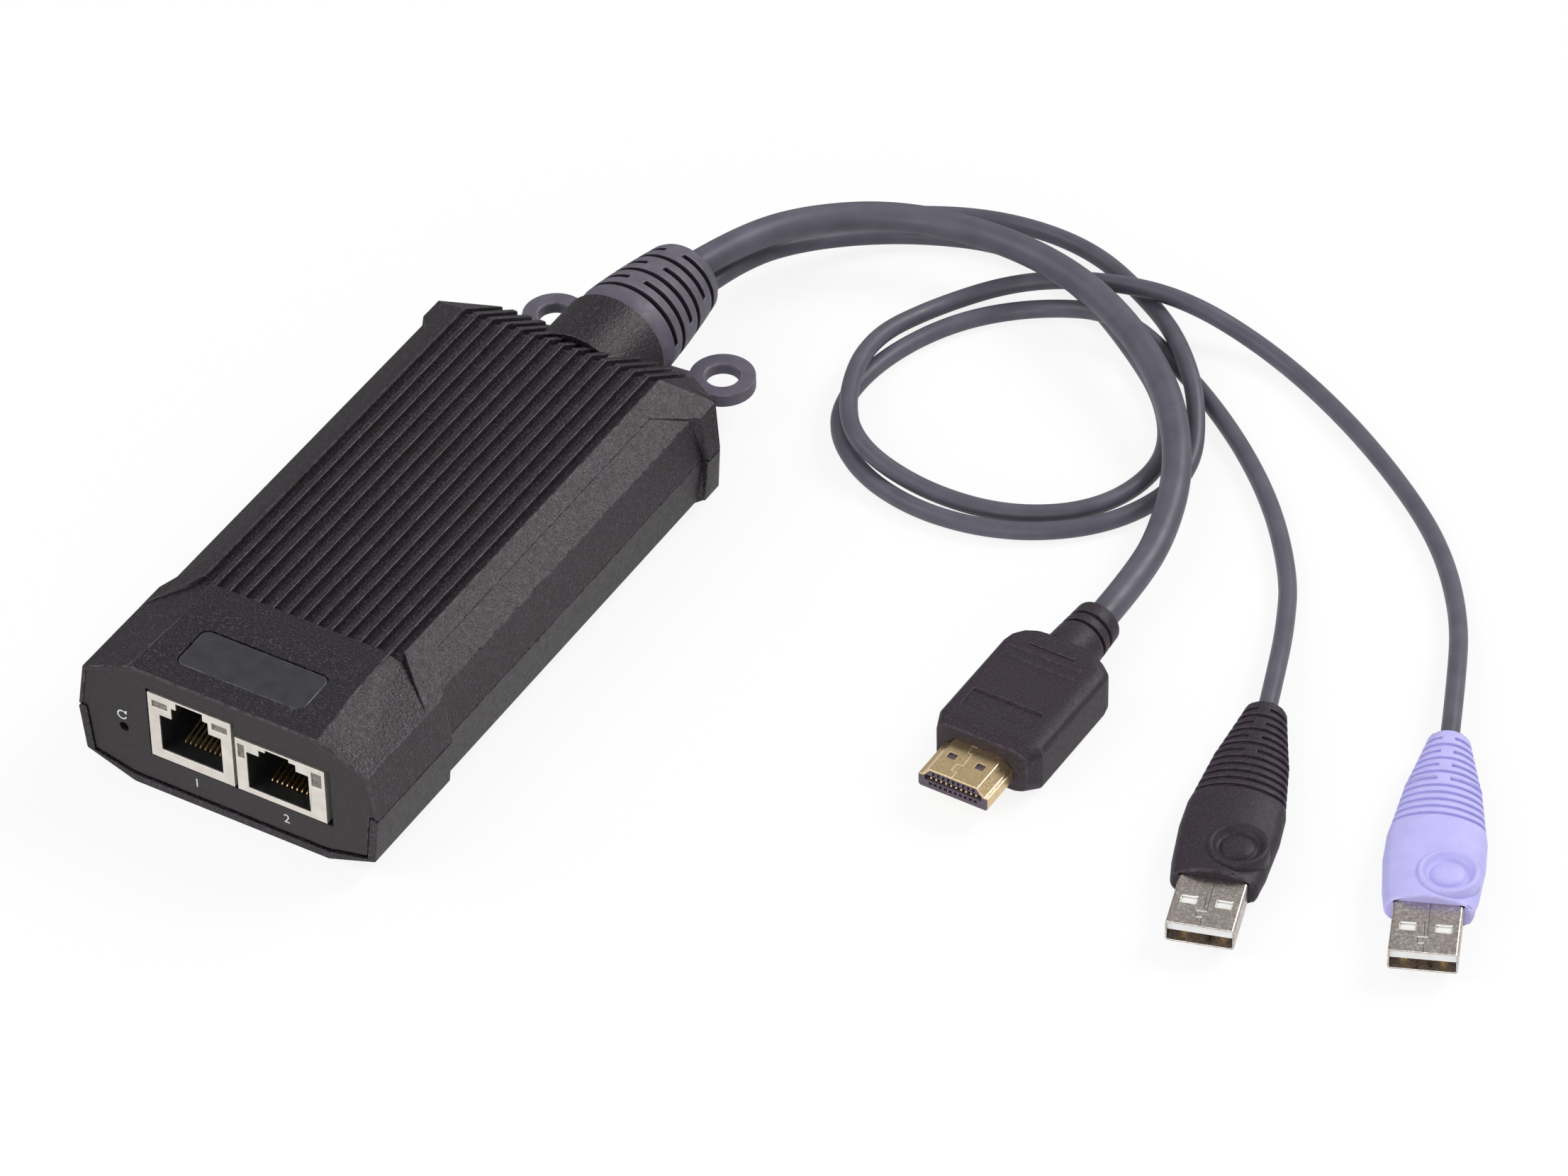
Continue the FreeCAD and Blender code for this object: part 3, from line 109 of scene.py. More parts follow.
def photo_camera():
    """The camera solved from the photograph."""
    data = bpy.data.cameras.new("photo_camera")
    data.sensor_fit = "HORIZONTAL"
    data.sensor_width = 36
    data.lens = 180.58
    data.clip_start = 0.05
    data.clip_end = 20
    right = Vector((0.86103, 0.50832, -0.01577))
    up = Vector((-0.32431, 0.57270, 0.75288))
    back = Vector((0.39174, -0.64314, 0.65796))
    place = Vector((603.5, -866.6, 925.7)) * MM
    camera = linked("photo_camera", data)
    camera.matrix_world = Matrix.Translation(place) @ Matrix((right, up, back)).transposed().to_4x4()
    bpy.context.scene.camera = camera


def softbox(name, place, width, height, power):
    """A rectangular light that faces the middle of the object."""
    data = bpy.data.lights.new(name, "AREA")
    data.shape = "RECTANGLE"
    data.size = width
    data.size_y = height
    data.energy = power
    lamp = linked(name, data)
    lamp.location = place
    lamp.rotation_euler = (MIDDLE - Vector(place)).to_track_quat("-Z", "Y").to_euler()


def seen_as_backdrop(tree):
    """Socket that is 1 for rays that show the backdrop: seen directly, mirrored or through clear pieces."""
    path = add_node(tree, "ShaderNodeLightPath").outputs
    total = path["Is Camera Ray"]
    for kind in ("Is Glossy Ray", "Is Transmission Ray"):
        total = reckoned(tree, "MAXIMUM", total, path[kind])
    return total


def studio_world():
    """Even fill light, with a room that darkens overhead for what the glossy surfaces mirror."""
    world = bpy.data.worlds.new("studio")
    bpy.context.scene.world = world
    world.use_nodes = True
    tree = world.node_tree
    tree.nodes.clear()
    fill = add_node(tree, "ShaderNodeBackground", {"Color": FILL_COLOUR, "Strength": FILL_STRENGTH})
    place = add_node(tree, "ShaderNodeTexCoord").outputs["Generated"]
    height = add_node(tree, "ShaderNodeSeparateXYZ", {0: place}).outputs["Z"]
    greys = colour_ramp(tree, height, [(at, (grey, grey, grey)) for at, grey in ROOM_GREYS])
    room = add_node(tree, "ShaderNodeBackground", {"Color": greys, "Strength": 1.0})
    surface = blended_shader(tree, seen_as_backdrop(tree), fill.outputs[0], room.outputs[0])
    add_node(tree, "ShaderNodeOutputWorld", {"Surface": surface})


def pale_floor():
    """A white sweep that keeps a faint shadow of the object, and that glossy surfaces mirror darker at the far left."""
    mesh = bpy.data.meshes.new("floor")
    corners = [(FLOOR_REACH * x, FLOOR_REACH * y, 0) for x, y in ((-1, -1), (1, -1), (1, 1), (-1, 1))]
    mesh.from_pydata(corners, [], [(0, 1, 2, 3)])
    floor = linked("floor", mesh)
    material = bpy.data.materials.new("floor_white")
    material.use_nodes = True
    tree = material.node_tree
    tree.nodes.clear()
    path = add_node(tree, "ShaderNodeLightPath").outputs
    matte = add_node(tree, "ShaderNodeBsdfDiffuse", {"Color": FLOOR_WHITE})
    glow = add_node(tree, "ShaderNodeEmission", {"Strength": 1.0})
    share = reckoned(tree, "MULTIPLY", path["Is Camera Ray"], FLOOR_GLOW)
    white = blended_shader(tree, share, matte.outputs[0], glow.outputs[0])
    across = tree.nodes.new("ShaderNodeVectorMath")
    across.operation = "DOT_PRODUCT"
    feed(across, {0: add_node(tree, "ShaderNodeTexCoord").outputs["Object"], 1: MIRROR_RUN})
    fade = add_node(tree, "ShaderNodeMapRange", {"Value": across.outputs["Value"], **MIRROR_FADE})
    mirrored = add_node(tree, "ShaderNodeEmission", {"Strength": fade.outputs["Result"]})
    surface = blended_shader(tree, path["Is Glossy Ray"], white, mirrored.outputs[0])
    add_node(tree, "ShaderNodeOutputMaterial", {"Surface": surface})
    mesh.materials.append(material)


photo_camera()
studio_world()
pale_floor()
softbox("left_softbox", (-0.75, -0.75, 1.25), 1.1, 1.1, 10)
softbox("right_softbox", (0.76, 1.13, 1.18), 0.9, 0.7, 18)
softbox("front_softbox", (0.55, -1.35, 0.55), 1.0, 0.6, 7)
bpy.context.scene.view_settings.view_transform = "Standard"


# Finishes

FINE_DETAIL = 3.0


class Finish:
    """A material whose colour, gloss and relief vary over the piece."""

    def __init__(self, name, rough, metal=0.0, specular=0.5):
        self.material = bpy.data.materials.new(name)
        self.material.use_nodes = True
        self.tree = self.material.node_tree
        self.shader = self.tree.nodes["Principled BSDF"]
        feed(self.shader, {"Metallic": metal, "Roughness": rough, "Specular IOR Level": specular})
        self.place = add_node(self.tree, "ShaderNodeTexCoord").outputs["Object"]
        self.base = None
        self.relief = None

    def pattern(self, size, detail=2.0):
        """Cloudy noise whose blotches are about this many millimetres across."""
        noise = add_node(self.tree, "ShaderNodeTexNoise", {
            "Vector": self.place, "Scale": 1 / (size * MM), "Detail": detail})
        return noise.outputs["Fac"]

    def marked(self, label, share):
        """How much of a mark a face has, times a share."""
        mark = self.tree.nodes.new("ShaderNodeAttribute")
        mark.attribute_name = label
        return reckoned(self.tree, "MULTIPLY", mark.outputs["Fac"], share)

    def painted(self, base):
        """This colour socket as the base colour."""
        self.base = base
        feed(self.shader, {"Base Color": base})
        return self

    def tinted(self, factor, colour):
        """A colour laid over what is there."""
        return self.painted(blended(self.tree, "RGBA", factor, self.base, (*colour, 1)))

    def colours(self, stops, size):
        """Colours spread over the piece by noise, each from its place between 0 and 1."""
        return self.painted(colour_ramp(self.tree, self.pattern(size, FINE_DETAIL), stops))

    def clouded(self, dark, pale, size):
        """Two colours that drift into each other."""
        return self.colours([(0.3, dark), (0.7, pale)], size)

    def wear_and_highlight(self, colour, size):
        """A lighter colour in patches of this size along the rounded edges: partly wear, partly painted edge highlight.
        """
        patches = add_node(self.tree, "ShaderNodeMapRange", {
            "Value": self.pattern(size), "From Min": 0.35, "From Max": 0.65})
        return self.tinted(self.marked("rubbed_edge", patches.outputs["Result"]), colour)

    def shaded(self, colour):
        """A dark colour on the faces that lie deep in a slot."""
        return self.tinted(self.marked("slot_shade", 1.0), colour)

    def gloss(self, low, high, size):
        """Roughness that drifts between two values."""
        reach = add_node(self.tree, "ShaderNodeMapRange", {
            "Value": self.pattern(size, FINE_DETAIL), "From Min": 0.3, "From Max": 0.7, "To Min": low, "To Max": high})
        feed(self.shader, {"Roughness": reach.outputs["Result"]})
        return self

    def grain(self, size, depth, strength):
        """Relief of this size and depth in millimetres."""
        bump = add_node(self.tree, "ShaderNodeBump", {
            "Height": self.pattern(size), "Strength": strength, "Distance": depth * MM})
        self.relief = bump.outputs["Normal"]
        feed(self.shader, {"Normal": self.relief})
        return self

    def plain(self, colour, share):
        """This share of an even colour without grain on the faces marked as a plain wall."""
        part = self.marked("plain_wall", share)
        even = add_node(self.tree, "ShaderNodeNewGeometry").outputs["Normal"]
        feed(self.shader, {"Normal": blended(self.tree, "VECTOR", part, self.relief, even)})
        return self.tinted(part, colour)


def tone(grey, tint=(1, 1, 1)):
    """A grey with a tint."""
    return tuple(grey * part for part in tint)


PLUM = (1.14, 0.84, 1.14)
SLATE = (0.95, 0.95, 1.12)

case_black = Finish("case_black", 0.46, specular=0.5)
case_black.shader.inputs["Specular Tint"].default_value = (1.0, 0.945, 0.975, 1)
case_black.colours([(0.36, tone(0.003, PLUM)), (0.52, tone(0.009, PLUM)), (0.62, tone(0.026, PLUM)),
                    (0.76, tone(0.09, PLUM))], 0.36)
# The lighter colour on the rounded edges of each finish is wear and painted edge highlight.
case_black.wear_and_highlight(tone(0.055, (1.08, 0.92, 1.07)), 1.5)
case_black.gloss(0.42, 0.52, 1.2).grain(0.42, 0.155, 1.0).plain(tone(0.0115, (1.08, 0.92, 1.0)), 0.85)

plate_grey = Finish("plate_grey", 0.4, specular=0.45).clouded(tone(0.026, SLATE), tone(0.038, SLATE), 3.0)
plate_grey.wear_and_highlight(tone(0.12, SLATE), 2.0).gloss(0.34, 0.46, 1.5).grain(0.3, 0.012, 0.5)

relief_grey = Finish("relief_grey", 0.5, specular=0.4).clouded((0.1, 0.089, 0.118), (0.13, 0.117, 0.152), 2.5)
relief_grey.wear_and_highlight((0.18, 0.162, 0.2), 1.5).shaded((0.034, 0.029, 0.04)).gloss(0.42, 0.55, 1.0).grain(0.4, 0.02, 0.5)

lead_jacket = Finish("lead_jacket", 0.46, specular=0.4).clouded((0.082, 0.078, 0.101), (0.106, 0.101, 0.13), 5.0)
lead_jacket.gloss(0.4, 0.5, 3.0).grain(0.5, 0.012, 0.4)

grip_black = Finish("grip_black", 0.52, specular=0.3)
grip_black.colours([(0.35, tone(0.02, PLUM)), (0.6, tone(0.033, PLUM)), (0.75, tone(0.054, PLUM))], 0.4)
grip_black.wear_and_highlight(tone(0.06, PLUM), 1.2).gloss(0.48, 0.58, 1.0).grain(0.4, 0.07, 0.8)

grip_lavender = Finish("grip_lavender", 0.45, specular=0.35)
grip_lavender.clouded((0.465, 0.435, 0.79), (0.505, 0.475, 0.835), 2.5)
grip_lavender.wear_and_highlight((0.55, 0.52, 0.84), 1.5).gloss(0.42, 0.52, 1.0).grain(0.45, 0.04, 0.6)

gold_shell = Finish("gold_shell", 0.32, metal=1.0).clouded((0.72, 0.52, 0.27), (0.9, 0.7, 0.42), 0.5)
gold_shell.wear_and_highlight((0.98, 0.84, 0.6), 0.8).gloss(0.26, 0.4, 0.6).grain(0.3, 0.006, 0.5)

nickel_shell = Finish("nickel_shell", 0.3, metal=1.0)
nickel_shell.colours([(0.32, (0.43, 0.37, 0.335)), (0.52, (0.56, 0.495, 0.455)), (0.74, (0.82, 0.77, 0.735))], 0.5)
nickel_shell.wear_and_highlight((0.97, 0.95, 0.92), 0.8).gloss(0.24, 0.4, 0.7).grain(0.3, 0.006, 0.6)

shield_tin = Finish("shield_tin", 0.4, metal=0.85).clouded((0.74, 0.69, 0.63), (0.86, 0.81, 0.75), 2.0)
shield_tin.wear_and_highlight((0.95, 0.92, 0.88), 0.8).gloss(0.3, 0.45, 1.0).grain(0.6, 0.005, 0.4)

contact_gold = Finish("contact_gold", 0.25, metal=1.0).clouded((0.82, 0.58, 0.22), (0.97, 0.76, 0.38), 0.5)
contact_gold.gloss(0.18, 0.3, 0.5).grain(0.2, 0.004, 0.4)

# The first jack's contacts: the same gold painted darker, as painted shade inside the jack.
contact_dull = Finish("contact_dull", 0.45, metal=0.8).clouded((0.2, 0.14, 0.06), (0.32, 0.23, 0.11), 0.5)
contact_dull.gloss(0.38, 0.52, 0.5).grain(0.2, 0.004, 0.4)

tongue_white = Finish("tongue_white", 0.4).clouded((0.74, 0.74, 0.71), (0.82, 0.82, 0.79), 2.0)
tongue_white.gloss(0.34, 0.46, 1.0).grain(0.4, 0.01, 0.4)

insert_black = Finish("insert_black", 0.45, specular=0.4).clouded(tone(0.009), tone(0.014), 2.0)
insert_black.gloss(0.4, 0.55, 1.0).grain(0.4, 0.02, 0.5)

insert_grey = Finish("insert_grey", 0.5, specular=0.4).clouded(tone(0.07, PLUM), tone(0.1, PLUM), 0.6)
insert_grey.gloss(0.42, 0.55, 1.0).grain(0.3, 0.015, 0.5)

lamp_clear = Finish("lamp_clear", 0.25).clouded((0.1, 0.086, 0.072), (0.25, 0.225, 0.19), 0.9)
lamp_clear.gloss(0.2, 0.32, 0.8).grain(0.5, 0.01, 0.4)

board_green = Finish("board_green", 0.35).colours([(0.4, (0.012, 0.075, 0.03)), (0.6, (0.02, 0.11, 0.045))], 1.2)
board_green.gloss(0.28, 0.42, 2.0).grain(1.0, 0.02, 0.4)

chip_black = Finish("chip_black", 0.5).clouded(tone(0.013), tone(0.02), 0.6)
chip_black.gloss(0.42, 0.6, 1.0).grain(0.25, 0.02, 0.5)

header_white = Finish("header_white", 0.45).clouded((0.66, 0.63, 0.54), (0.74, 0.71, 0.62), 1.5)
header_white.gloss(0.38, 0.5, 1.0).grain(0.4, 0.01, 0.4)

switch_steel = Finish("switch_steel", 0.3, metal=1.0).clouded((0.5, 0.5, 0.5), (0.62, 0.62, 0.61), 1.0)
switch_steel.gloss(0.24, 0.38, 0.8).grain(0.3, 0.006, 0.4)

plunger_black = Finish("plunger_black", 0.4).clouded(tone(0.014), tone(0.022), 0.6)
plunger_black.gloss(0.35, 0.5, 0.6).grain(0.3, 0.01, 0.4)

screw_steel = Finish("screw_steel", 0.3, metal=1.0).clouded((0.38, 0.38, 0.39), (0.5, 0.5, 0.51), 0.6)
screw_steel.wear_and_highlight((0.7, 0.7, 0.7), 0.6).gloss(0.24, 0.4, 0.5).grain(0.25, 0.006, 0.4)

print_white = Finish("print_white", 0.55).clouded(tone(0.6), tone(0.72), 0.4)
print_white.gloss(0.5, 0.62, 0.4).grain(0.15, 0.004, 0.4)

# Lighter metal than the shells for seam strips, window edges and lips: painted highlight along edges.
burnished_gold = Finish("burnished_gold", 0.5, metal=1.0).clouded((0.96, 0.82, 0.58), (1.0, 0.9, 0.7), 0.6)
burnished_gold.gloss(0.42, 0.55, 0.6).grain(0.2, 0.004, 0.4)

burnished_nickel = Finish("burnished_nickel", 0.5, metal=1.0).clouded((0.92, 0.9, 0.87), (1.0, 0.98, 0.96), 0.6)
burnished_nickel.gloss(0.42, 0.55, 0.6).grain(0.2, 0.004, 0.4)

seam_dark = Finish("seam_dark", 0.5, metal=0.6).clouded((0.09, 0.08, 0.075), (0.15, 0.135, 0.125), 0.4)
seam_dark.gloss(0.42, 0.6, 0.5).grain(0.2, 0.004, 0.4)


def dress(finish, *nodes):
    """Give solids that are shown as they are their finish."""
    for node in nodes:
        data = NODES[node].data
        if data.materials:
            for step in range(len(data.materials)):
                data.materials[step] = finish.material
        else:
            data.materials.append(finish.material)


# Mesh helpers, in millimetres until a piece is settled

SHARP = math.radians(28)  # an edge that turns further is rounded
FACET_BREAK = math.radians(16.5)  # the same on the faceted covers
ONE_FLAT = math.radians(0.4)  # faces of a cover that turn less are one face
LOOK_OUT = 0.05  # an edge that sees another wall from this far out stays crisp
SEAM_WELD, SOLID_WELD = 0.0005, 0.002
LEAST_WIDTH, LONGEST_MITRE = 0.01, 2


def settle(name, mesh, finish, nodes=(), space=IN_PLACE):
    """Make a finished mesh a piece of the housing that stands for some solids."""
    mesh.transform(space)
    mesh.name = name
    mesh.materials.clear()
    mesh.materials.append(finish.material)
    piece = linked(name, mesh)
    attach(piece, HOUSING)
    if nodes:
        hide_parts(*nodes)
    return piece


def evaluated(holder):
    """The plain mesh that an object's modifiers give. The object is then removed."""
    bpy.context.view_layer.update()
    graph = bpy.context.evaluated_depsgraph_get()
    mesh = bpy.data.meshes.new_from_object(holder.evaluated_get(graph), depsgraph=graph)
    bpy.data.objects.remove(holder)
    return mesh


def meshed(name, work):
    """A mesh from a bmesh in millimetres, with its faces turned outwards."""
    bmesh.ops.recalc_face_normals(work, faces=work.faces)
    mesh = bpy.data.meshes.new(name)
    work.to_mesh(mesh)
    work.free()
    return mesh


def block(name, low, high):
    """A box between two corners."""
    work = bmesh.new()
    sizes = [top - bottom for bottom, top in zip(low, high)]
    middle = [(top + bottom) / 2 for bottom, top in zip(low, high)]
    bmesh.ops.create_cube(work, size=1, matrix=Matrix.Translation(middle) @ Matrix.Diagonal((*sizes, 1)))
    return meshed(name, work)


def prism(name, outline, near, far):
    """An outline across and up, drawn out along a plug or the housing."""
    work = bmesh.new()
    rings = [[work.verts.new((x, y, z)) for x, z in outline] for y in (near, far)]
    work.faces.new(rings[0])
    work.faces.new(reversed(rings[1]))
    for step in range(len(outline)):
        follow = (step + 1) % len(outline)
        work.faces.new((rings[0][step], rings[1][step], rings[1][follow], rings[0][follow]))
    return meshed(name, work)


def turned(name, profile, steps):
    """A profile of radius and height turned round the upright axis, closed at both ends."""
    work = bmesh.new()
    rings = []
    for radius, height in profile:
        if radius == 0:
            rings.append([work.verts.new((0, 0, height))])
            continue
        turns = [step * 2 * math.pi / steps for step in range(steps)]
        rings.append([work.verts.new((radius * math.cos(turn), radius * math.sin(turn), height)) for turn in turns])
    for lower, upper in zip(rings, rings[1:]):
        for step in range(steps):
            follow = (step + 1) % steps
            corners = [lower[step % len(lower)], lower[follow % len(lower)],
                       upper[follow % len(upper)], upper[step % len(upper)]]
            work.faces.new(dict.fromkeys(corners))
    for face in work.faces:
        face.smooth = True
    return meshed(name, work)


def ribbon(name, points, width, height, thick=0.05):
    """A thin flat strip along points on a level face, mitred at its turns."""
    sides = []
    path = [Vector(point) for point in points]
    for step, point in enumerate(path):
        before = (point - path[step - 1]).normalized() if step else None
        after = (path[step + 1] - point).normalized() if step + 1 < len(path) else None
        run = ((before or after) + (after or before)).normalized()
        across = Vector((-run.y, run.x))
        reach = width / 2 / max(1 / LONGEST_MITRE, abs(run.dot(after or before)))
        sides.append((point + across * reach, point - across * reach))
    work = bmesh.new()
    rungs = []
    for left, right in sides:
        rungs.append([work.verts.new((*spot, level)) for level in (height, height - thick) for spot in (left, right)])
    for rung, following in zip(rungs, rungs[1:]):
        for one, two in ((0, 1), (1, 3), (3, 2), (2, 0)):
            work.faces.new((rung[one], rung[two], following[two], following[one]))
    for rung in (rungs[0], rungs[-1]):
        work.faces.new((rung[0], rung[1], rung[3], rung[2]))
    return meshed(name, work)


def welded(mesh):
    """The mesh with its seams and end caps closed."""
    work = bmesh.new()
    work.from_mesh(mesh)
    bmesh.ops.remove_doubles(work, verts=work.verts, dist=SEAM_WELD)
    bmesh.ops.recalc_face_normals(work, faces=work.faces)
    work.to_mesh(mesh)
    work.free()
    return mesh


def wire_curve(name, points, radius, steps_along, steps_round):
    """A smooth round wire along points, with closed ends."""
    curve = bpy.data.curves.new(name, "CURVE")
    curve.dimensions = "3D"
    spline = curve.splines.new("NURBS")
    spline.points.add(len(points) - 1)
    for spot, point in zip(spline.points, points):
        spot.co = (*point, 1)
    spline.order_u = 3
    spline.use_endpoint_u = True
    spline.resolution_u = steps_along
    curve.bevel_depth = radius
    curve.bevel_resolution = steps_round
    curve.use_fill_caps = True
    return curve


def strand(name, points, radius):
    """The mesh of a thin wire."""
    return welded(evaluated(linked(name, wire_curve(name, points, radius, steps_along=6, steps_round=3))))


def joined(name, *meshes):
    """One mesh from several, which are then removed."""
    work = bmesh.new()
    for mesh in meshes:
        work.from_mesh(mesh)
        bpy.data.meshes.remove(mesh)
    mesh = bpy.data.meshes.new(name)
    work.to_mesh(mesh)
    work.free()
    return mesh


def hollowed(name, mesh, *cutters):
    """A mesh with other meshes taken out of it."""
    tools = []
    holder = linked(name, mesh)
    for cutter in cutters:
        tool = linked(cutter.name, cutter)
        tools.append(tool)
        taken = holder.modifiers.new(cutter.name, "BOOLEAN")
        taken.operation = "DIFFERENCE"
        taken.solver = "EXACT"
        taken.use_self = True
        taken.object = tool
    result = evaluated(holder)
    for tool in tools:
        bpy.data.objects.remove(tool)
    return result


def every_edge(width):
    """The same rounding on all sharp edges."""
    return lambda middle, run, convex: width


def rounded(mesh, choose, segments=3, flats=False):
    """The mesh with its sharp edges rounded by the width that choose gives, and those edges marked for a lighter colour
    of wear and painted edge highlight.
    """
    work = bmesh.new()
    work.from_mesh(mesh)
    if flats:
        bmesh.ops.dissolve_limit(work, angle_limit=ONE_FLAT, verts=work.verts, edges=work.edges)
    layer = work.edges.layers.float.new("bevel_weight_edge")
    least = FACET_BREAK if flats else SHARP
    walls = BVHTree.FromBMesh(work)
    widths = {}
    for edge in work.edges:
        if edge.is_manifold and edge.calc_face_angle(0) > least:
            ends = [vert.co for vert in edge.verts]
            middle = (ends[0] + ends[1]) / 2
            out = (edge.link_faces[0].normal + edge.link_faces[1].normal).normalized()
            hidden = flats and walls.ray_cast(middle + out * LOOK_OUT, out)[0]
            widths[edge] = 0 if hidden else choose(middle, ends[1] - ends[0], edge.is_convex)
    widest = max(list(widths.values()) + [LEAST_WIDTH])
    for edge, width in widths.items():
        edge[layer] = width / widest
        edge.smooth = width > 0
    for face in work.faces:
        face.smooth = True
        face.material_index = 0
    work.to_mesh(mesh)
    work.free()
    mesh.materials.clear()
    mesh.materials.append(None)
    mesh.materials.append(None)
    holder = linked(mesh.name, mesh)
    bevel = holder.modifiers.new("edges", "BEVEL")
    bevel.limit_method = "WEIGHT"
    bevel.width = widest
    bevel.segments = segments
    bevel.use_clamp_overlap = False
    bevel.loop_slide = flats
    bevel.miter_outer = "MITER_ARC"
    bevel.material = 1
    flat = holder.modifiers.new("normals", "WEIGHTED_NORMAL")
    flat.keep_sharp = True
    result = evaluated(holder)
    # Mark the rounded faces, where finishes paint a lighter colour of wear and painted edge highlight.
    marks = result.attributes.new("rubbed_edge", "FLOAT", "FACE")
    marks.data.foreach_set("value", [float(face.material_index) for face in result.polygons])
    result.polygons.foreach_set("material_index", [0] * len(result.polygons))
    return result


def softened(name, node, finish, choose, segments=3, flats=False, cutters=(), form=None):
    """A piece that is a solid's copy with rounded edges, after its points are moved and the cutters are taken out."""
    work = bmesh.new()
    work.from_mesh(NODES[node].data)
    bmesh.ops.remove_doubles(work, verts=work.verts, dist=SOLID_WELD * MM)
    bmesh.ops.scale(work, vec=(1 / MM,) * 3, verts=work.verts)
    if form:
        for vert in work.verts:
            vert.co = form(vert.co)
    mesh = bpy.data.meshes.new(name)
    work.to_mesh(mesh)
    work.free()
    if cutters:
        mesh = hollowed(name, mesh, *cutters)
    return settle(name, rounded(mesh, choose, segments, flats), finish, [node])


def row_tree():
    """Geometry Nodes that set copies of one piece in a row, make them real and give them their finish."""
    tree = bpy.data.node_groups.new("row_of_pieces", "GeometryNodeTree")
    names = {}
    for label, kind in (("Piece", "NodeSocketObject"), ("Count", "NodeSocketInt"), ("Start", "NodeSocketVector"),
                        ("Step", "NodeSocketVector"), ("Finish", "NodeSocketMaterial")):
        names[label] = tree.interface.new_socket(name=label, in_out="INPUT", socket_type=kind).identifier
    tree.interface.new_socket(name="Row", in_out="OUTPUT", socket_type="NodeSocketGeometry")
    given = add_node(tree, "NodeGroupInput").outputs
    line = tree.nodes.new("GeometryNodeMeshLine")
    line.mode = "OFFSET"
    feed(line, {"Count": given["Count"], "Start Location": given["Start"], "Offset": given["Step"]})
    source = add_node(tree, "GeometryNodeObjectInfo", {"Object": given["Piece"]})
    copies = add_node(tree, "GeometryNodeInstanceOnPoints", {
        "Points": line.outputs["Mesh"], "Instance": source.outputs["Geometry"]})
    real = add_node(tree, "GeometryNodeRealizeInstances", {"Geometry": copies.outputs["Instances"]})
    paint = add_node(tree, "GeometryNodeSetMaterial", {
        "Geometry": real.outputs["Geometry"], "Material": given["Finish"]})
    add_node(tree, "NodeGroupOutput", {"Row": paint.outputs["Geometry"]})
    return tree, names


ROW_TREE, ROW_INPUTS = row_tree()


def row(name, seed, count, start, step, finish):
    """A mesh with copies of a seed mesh, made by the row's Geometry Nodes."""
    piece = linked(f"{name}_seed", seed)
    holder = linked(name, bpy.data.meshes.new(name))
    nodes = holder.modifiers.new("row", "NODES")
    nodes.node_group = ROW_TREE
    for label, value in (("Piece", piece), ("Count", count), ("Start", start), ("Step", step),
                         ("Finish", finish.material)):
        nodes[ROW_INPUTS[label]] = value
    mesh = evaluated(holder)
    bpy.data.objects.remove(piece)
    return mesh


def row_across(name, seed, count, pitch, finish, middle=0.0):
    """A row from left to right, centred on its middle."""
    first = middle - (count - 1) / 2 * pitch
    return row(name, seed, count, (first, 0.0, 0.0), (pitch, 0.0, 0.0), finish)


# Housing: places are in millimetres in the part's frame, and a zone has limits across, along and up

FAR = 1000.0
PANEL_FACE = -61.1
FRONT_HOLES = ((-24, 22), (-FAR, -58), (7.5, 23.5))
PLATE_RECESS = ((-14.5, 14.5), (-58, -45), (20, FAR))
RIB_FIELD = ((-20.6, 20.6), (-37.5, FAR), (17.5, FAR))
COLLAR_SIDE, COLLAR_START = 26, 40
BASE_FRONT, BASE_MIDDLE, BASE_RUN = -58, 8, 6
SCREW_SIDE, SCREW_FRONT, SCREW_REAR = 16.0, -36.0, 33.0
RECESS_TOP, RECESS_SIDE, RECESS_REACH = 1.2, 11, 5
CASE_EDGE, RIB_EDGE, COLLAR_EDGE, BASE_EDGE, PLATE_EDGE = 0.28, 0.2, 0.12, 0.2, 0.25


def within(spot, zone):
    """Whether a place lies in a zone."""
    return all(low < part < high for part, (low, high) in zip(spot, zone))


def in_screw_recess(spot):
    """Whether a place lies round a screw head on the underside."""
    off = min(abs(spot.y - SCREW_FRONT), abs(spot.y - SCREW_REAR))
    return spot.z < RECESS_TOP and abs(spot.x) > RECESS_SIDE and off < RECESS_REACH


def cover_edges(middle, run, convex):
    """Fine rib crests; inner corners, the holes of the front and brow and the screw recesses stay crisp."""
    if not convex or in_screw_recess(middle) or within(middle, FRONT_HOLES) or within(middle, PLATE_RECESS):
        return 0
    if within(middle, RIB_FIELD):
        return RIB_EDGE
    if abs(middle.x) > COLLAR_SIDE and middle.y > COLLAR_START:
        return COLLAR_EDGE
    return CASE_EDGE


def base_edges(middle, run, convex):
    """Long outer edges of the lower cover only."""
    outer = convex and run.length >= BASE_RUN and middle.y >= BASE_FRONT and abs(middle.x) >= BASE_MIDDLE
    return BASE_EDGE if outer and not in_screw_recess(middle) else 0


WALL_BACK = -59
WINDOW_SIDE, WINDOW_ROOM, WINDOW_FOOT, WINDOW_TOP = 19.65, 1.7, 7.5, 21
WALL_SIDE, WALL_SIDE_TOP, WALL_SIDE_SLOPE = -29.0, 13.4, 1.05 / 9.45
WALL_GAP = 0.32
ON_WINDOW, ON_SIDE, ON_TOP = 0.05, 0.03, 0.01
WALL_FACING, WALL_SKIN = -0.97, 0.1


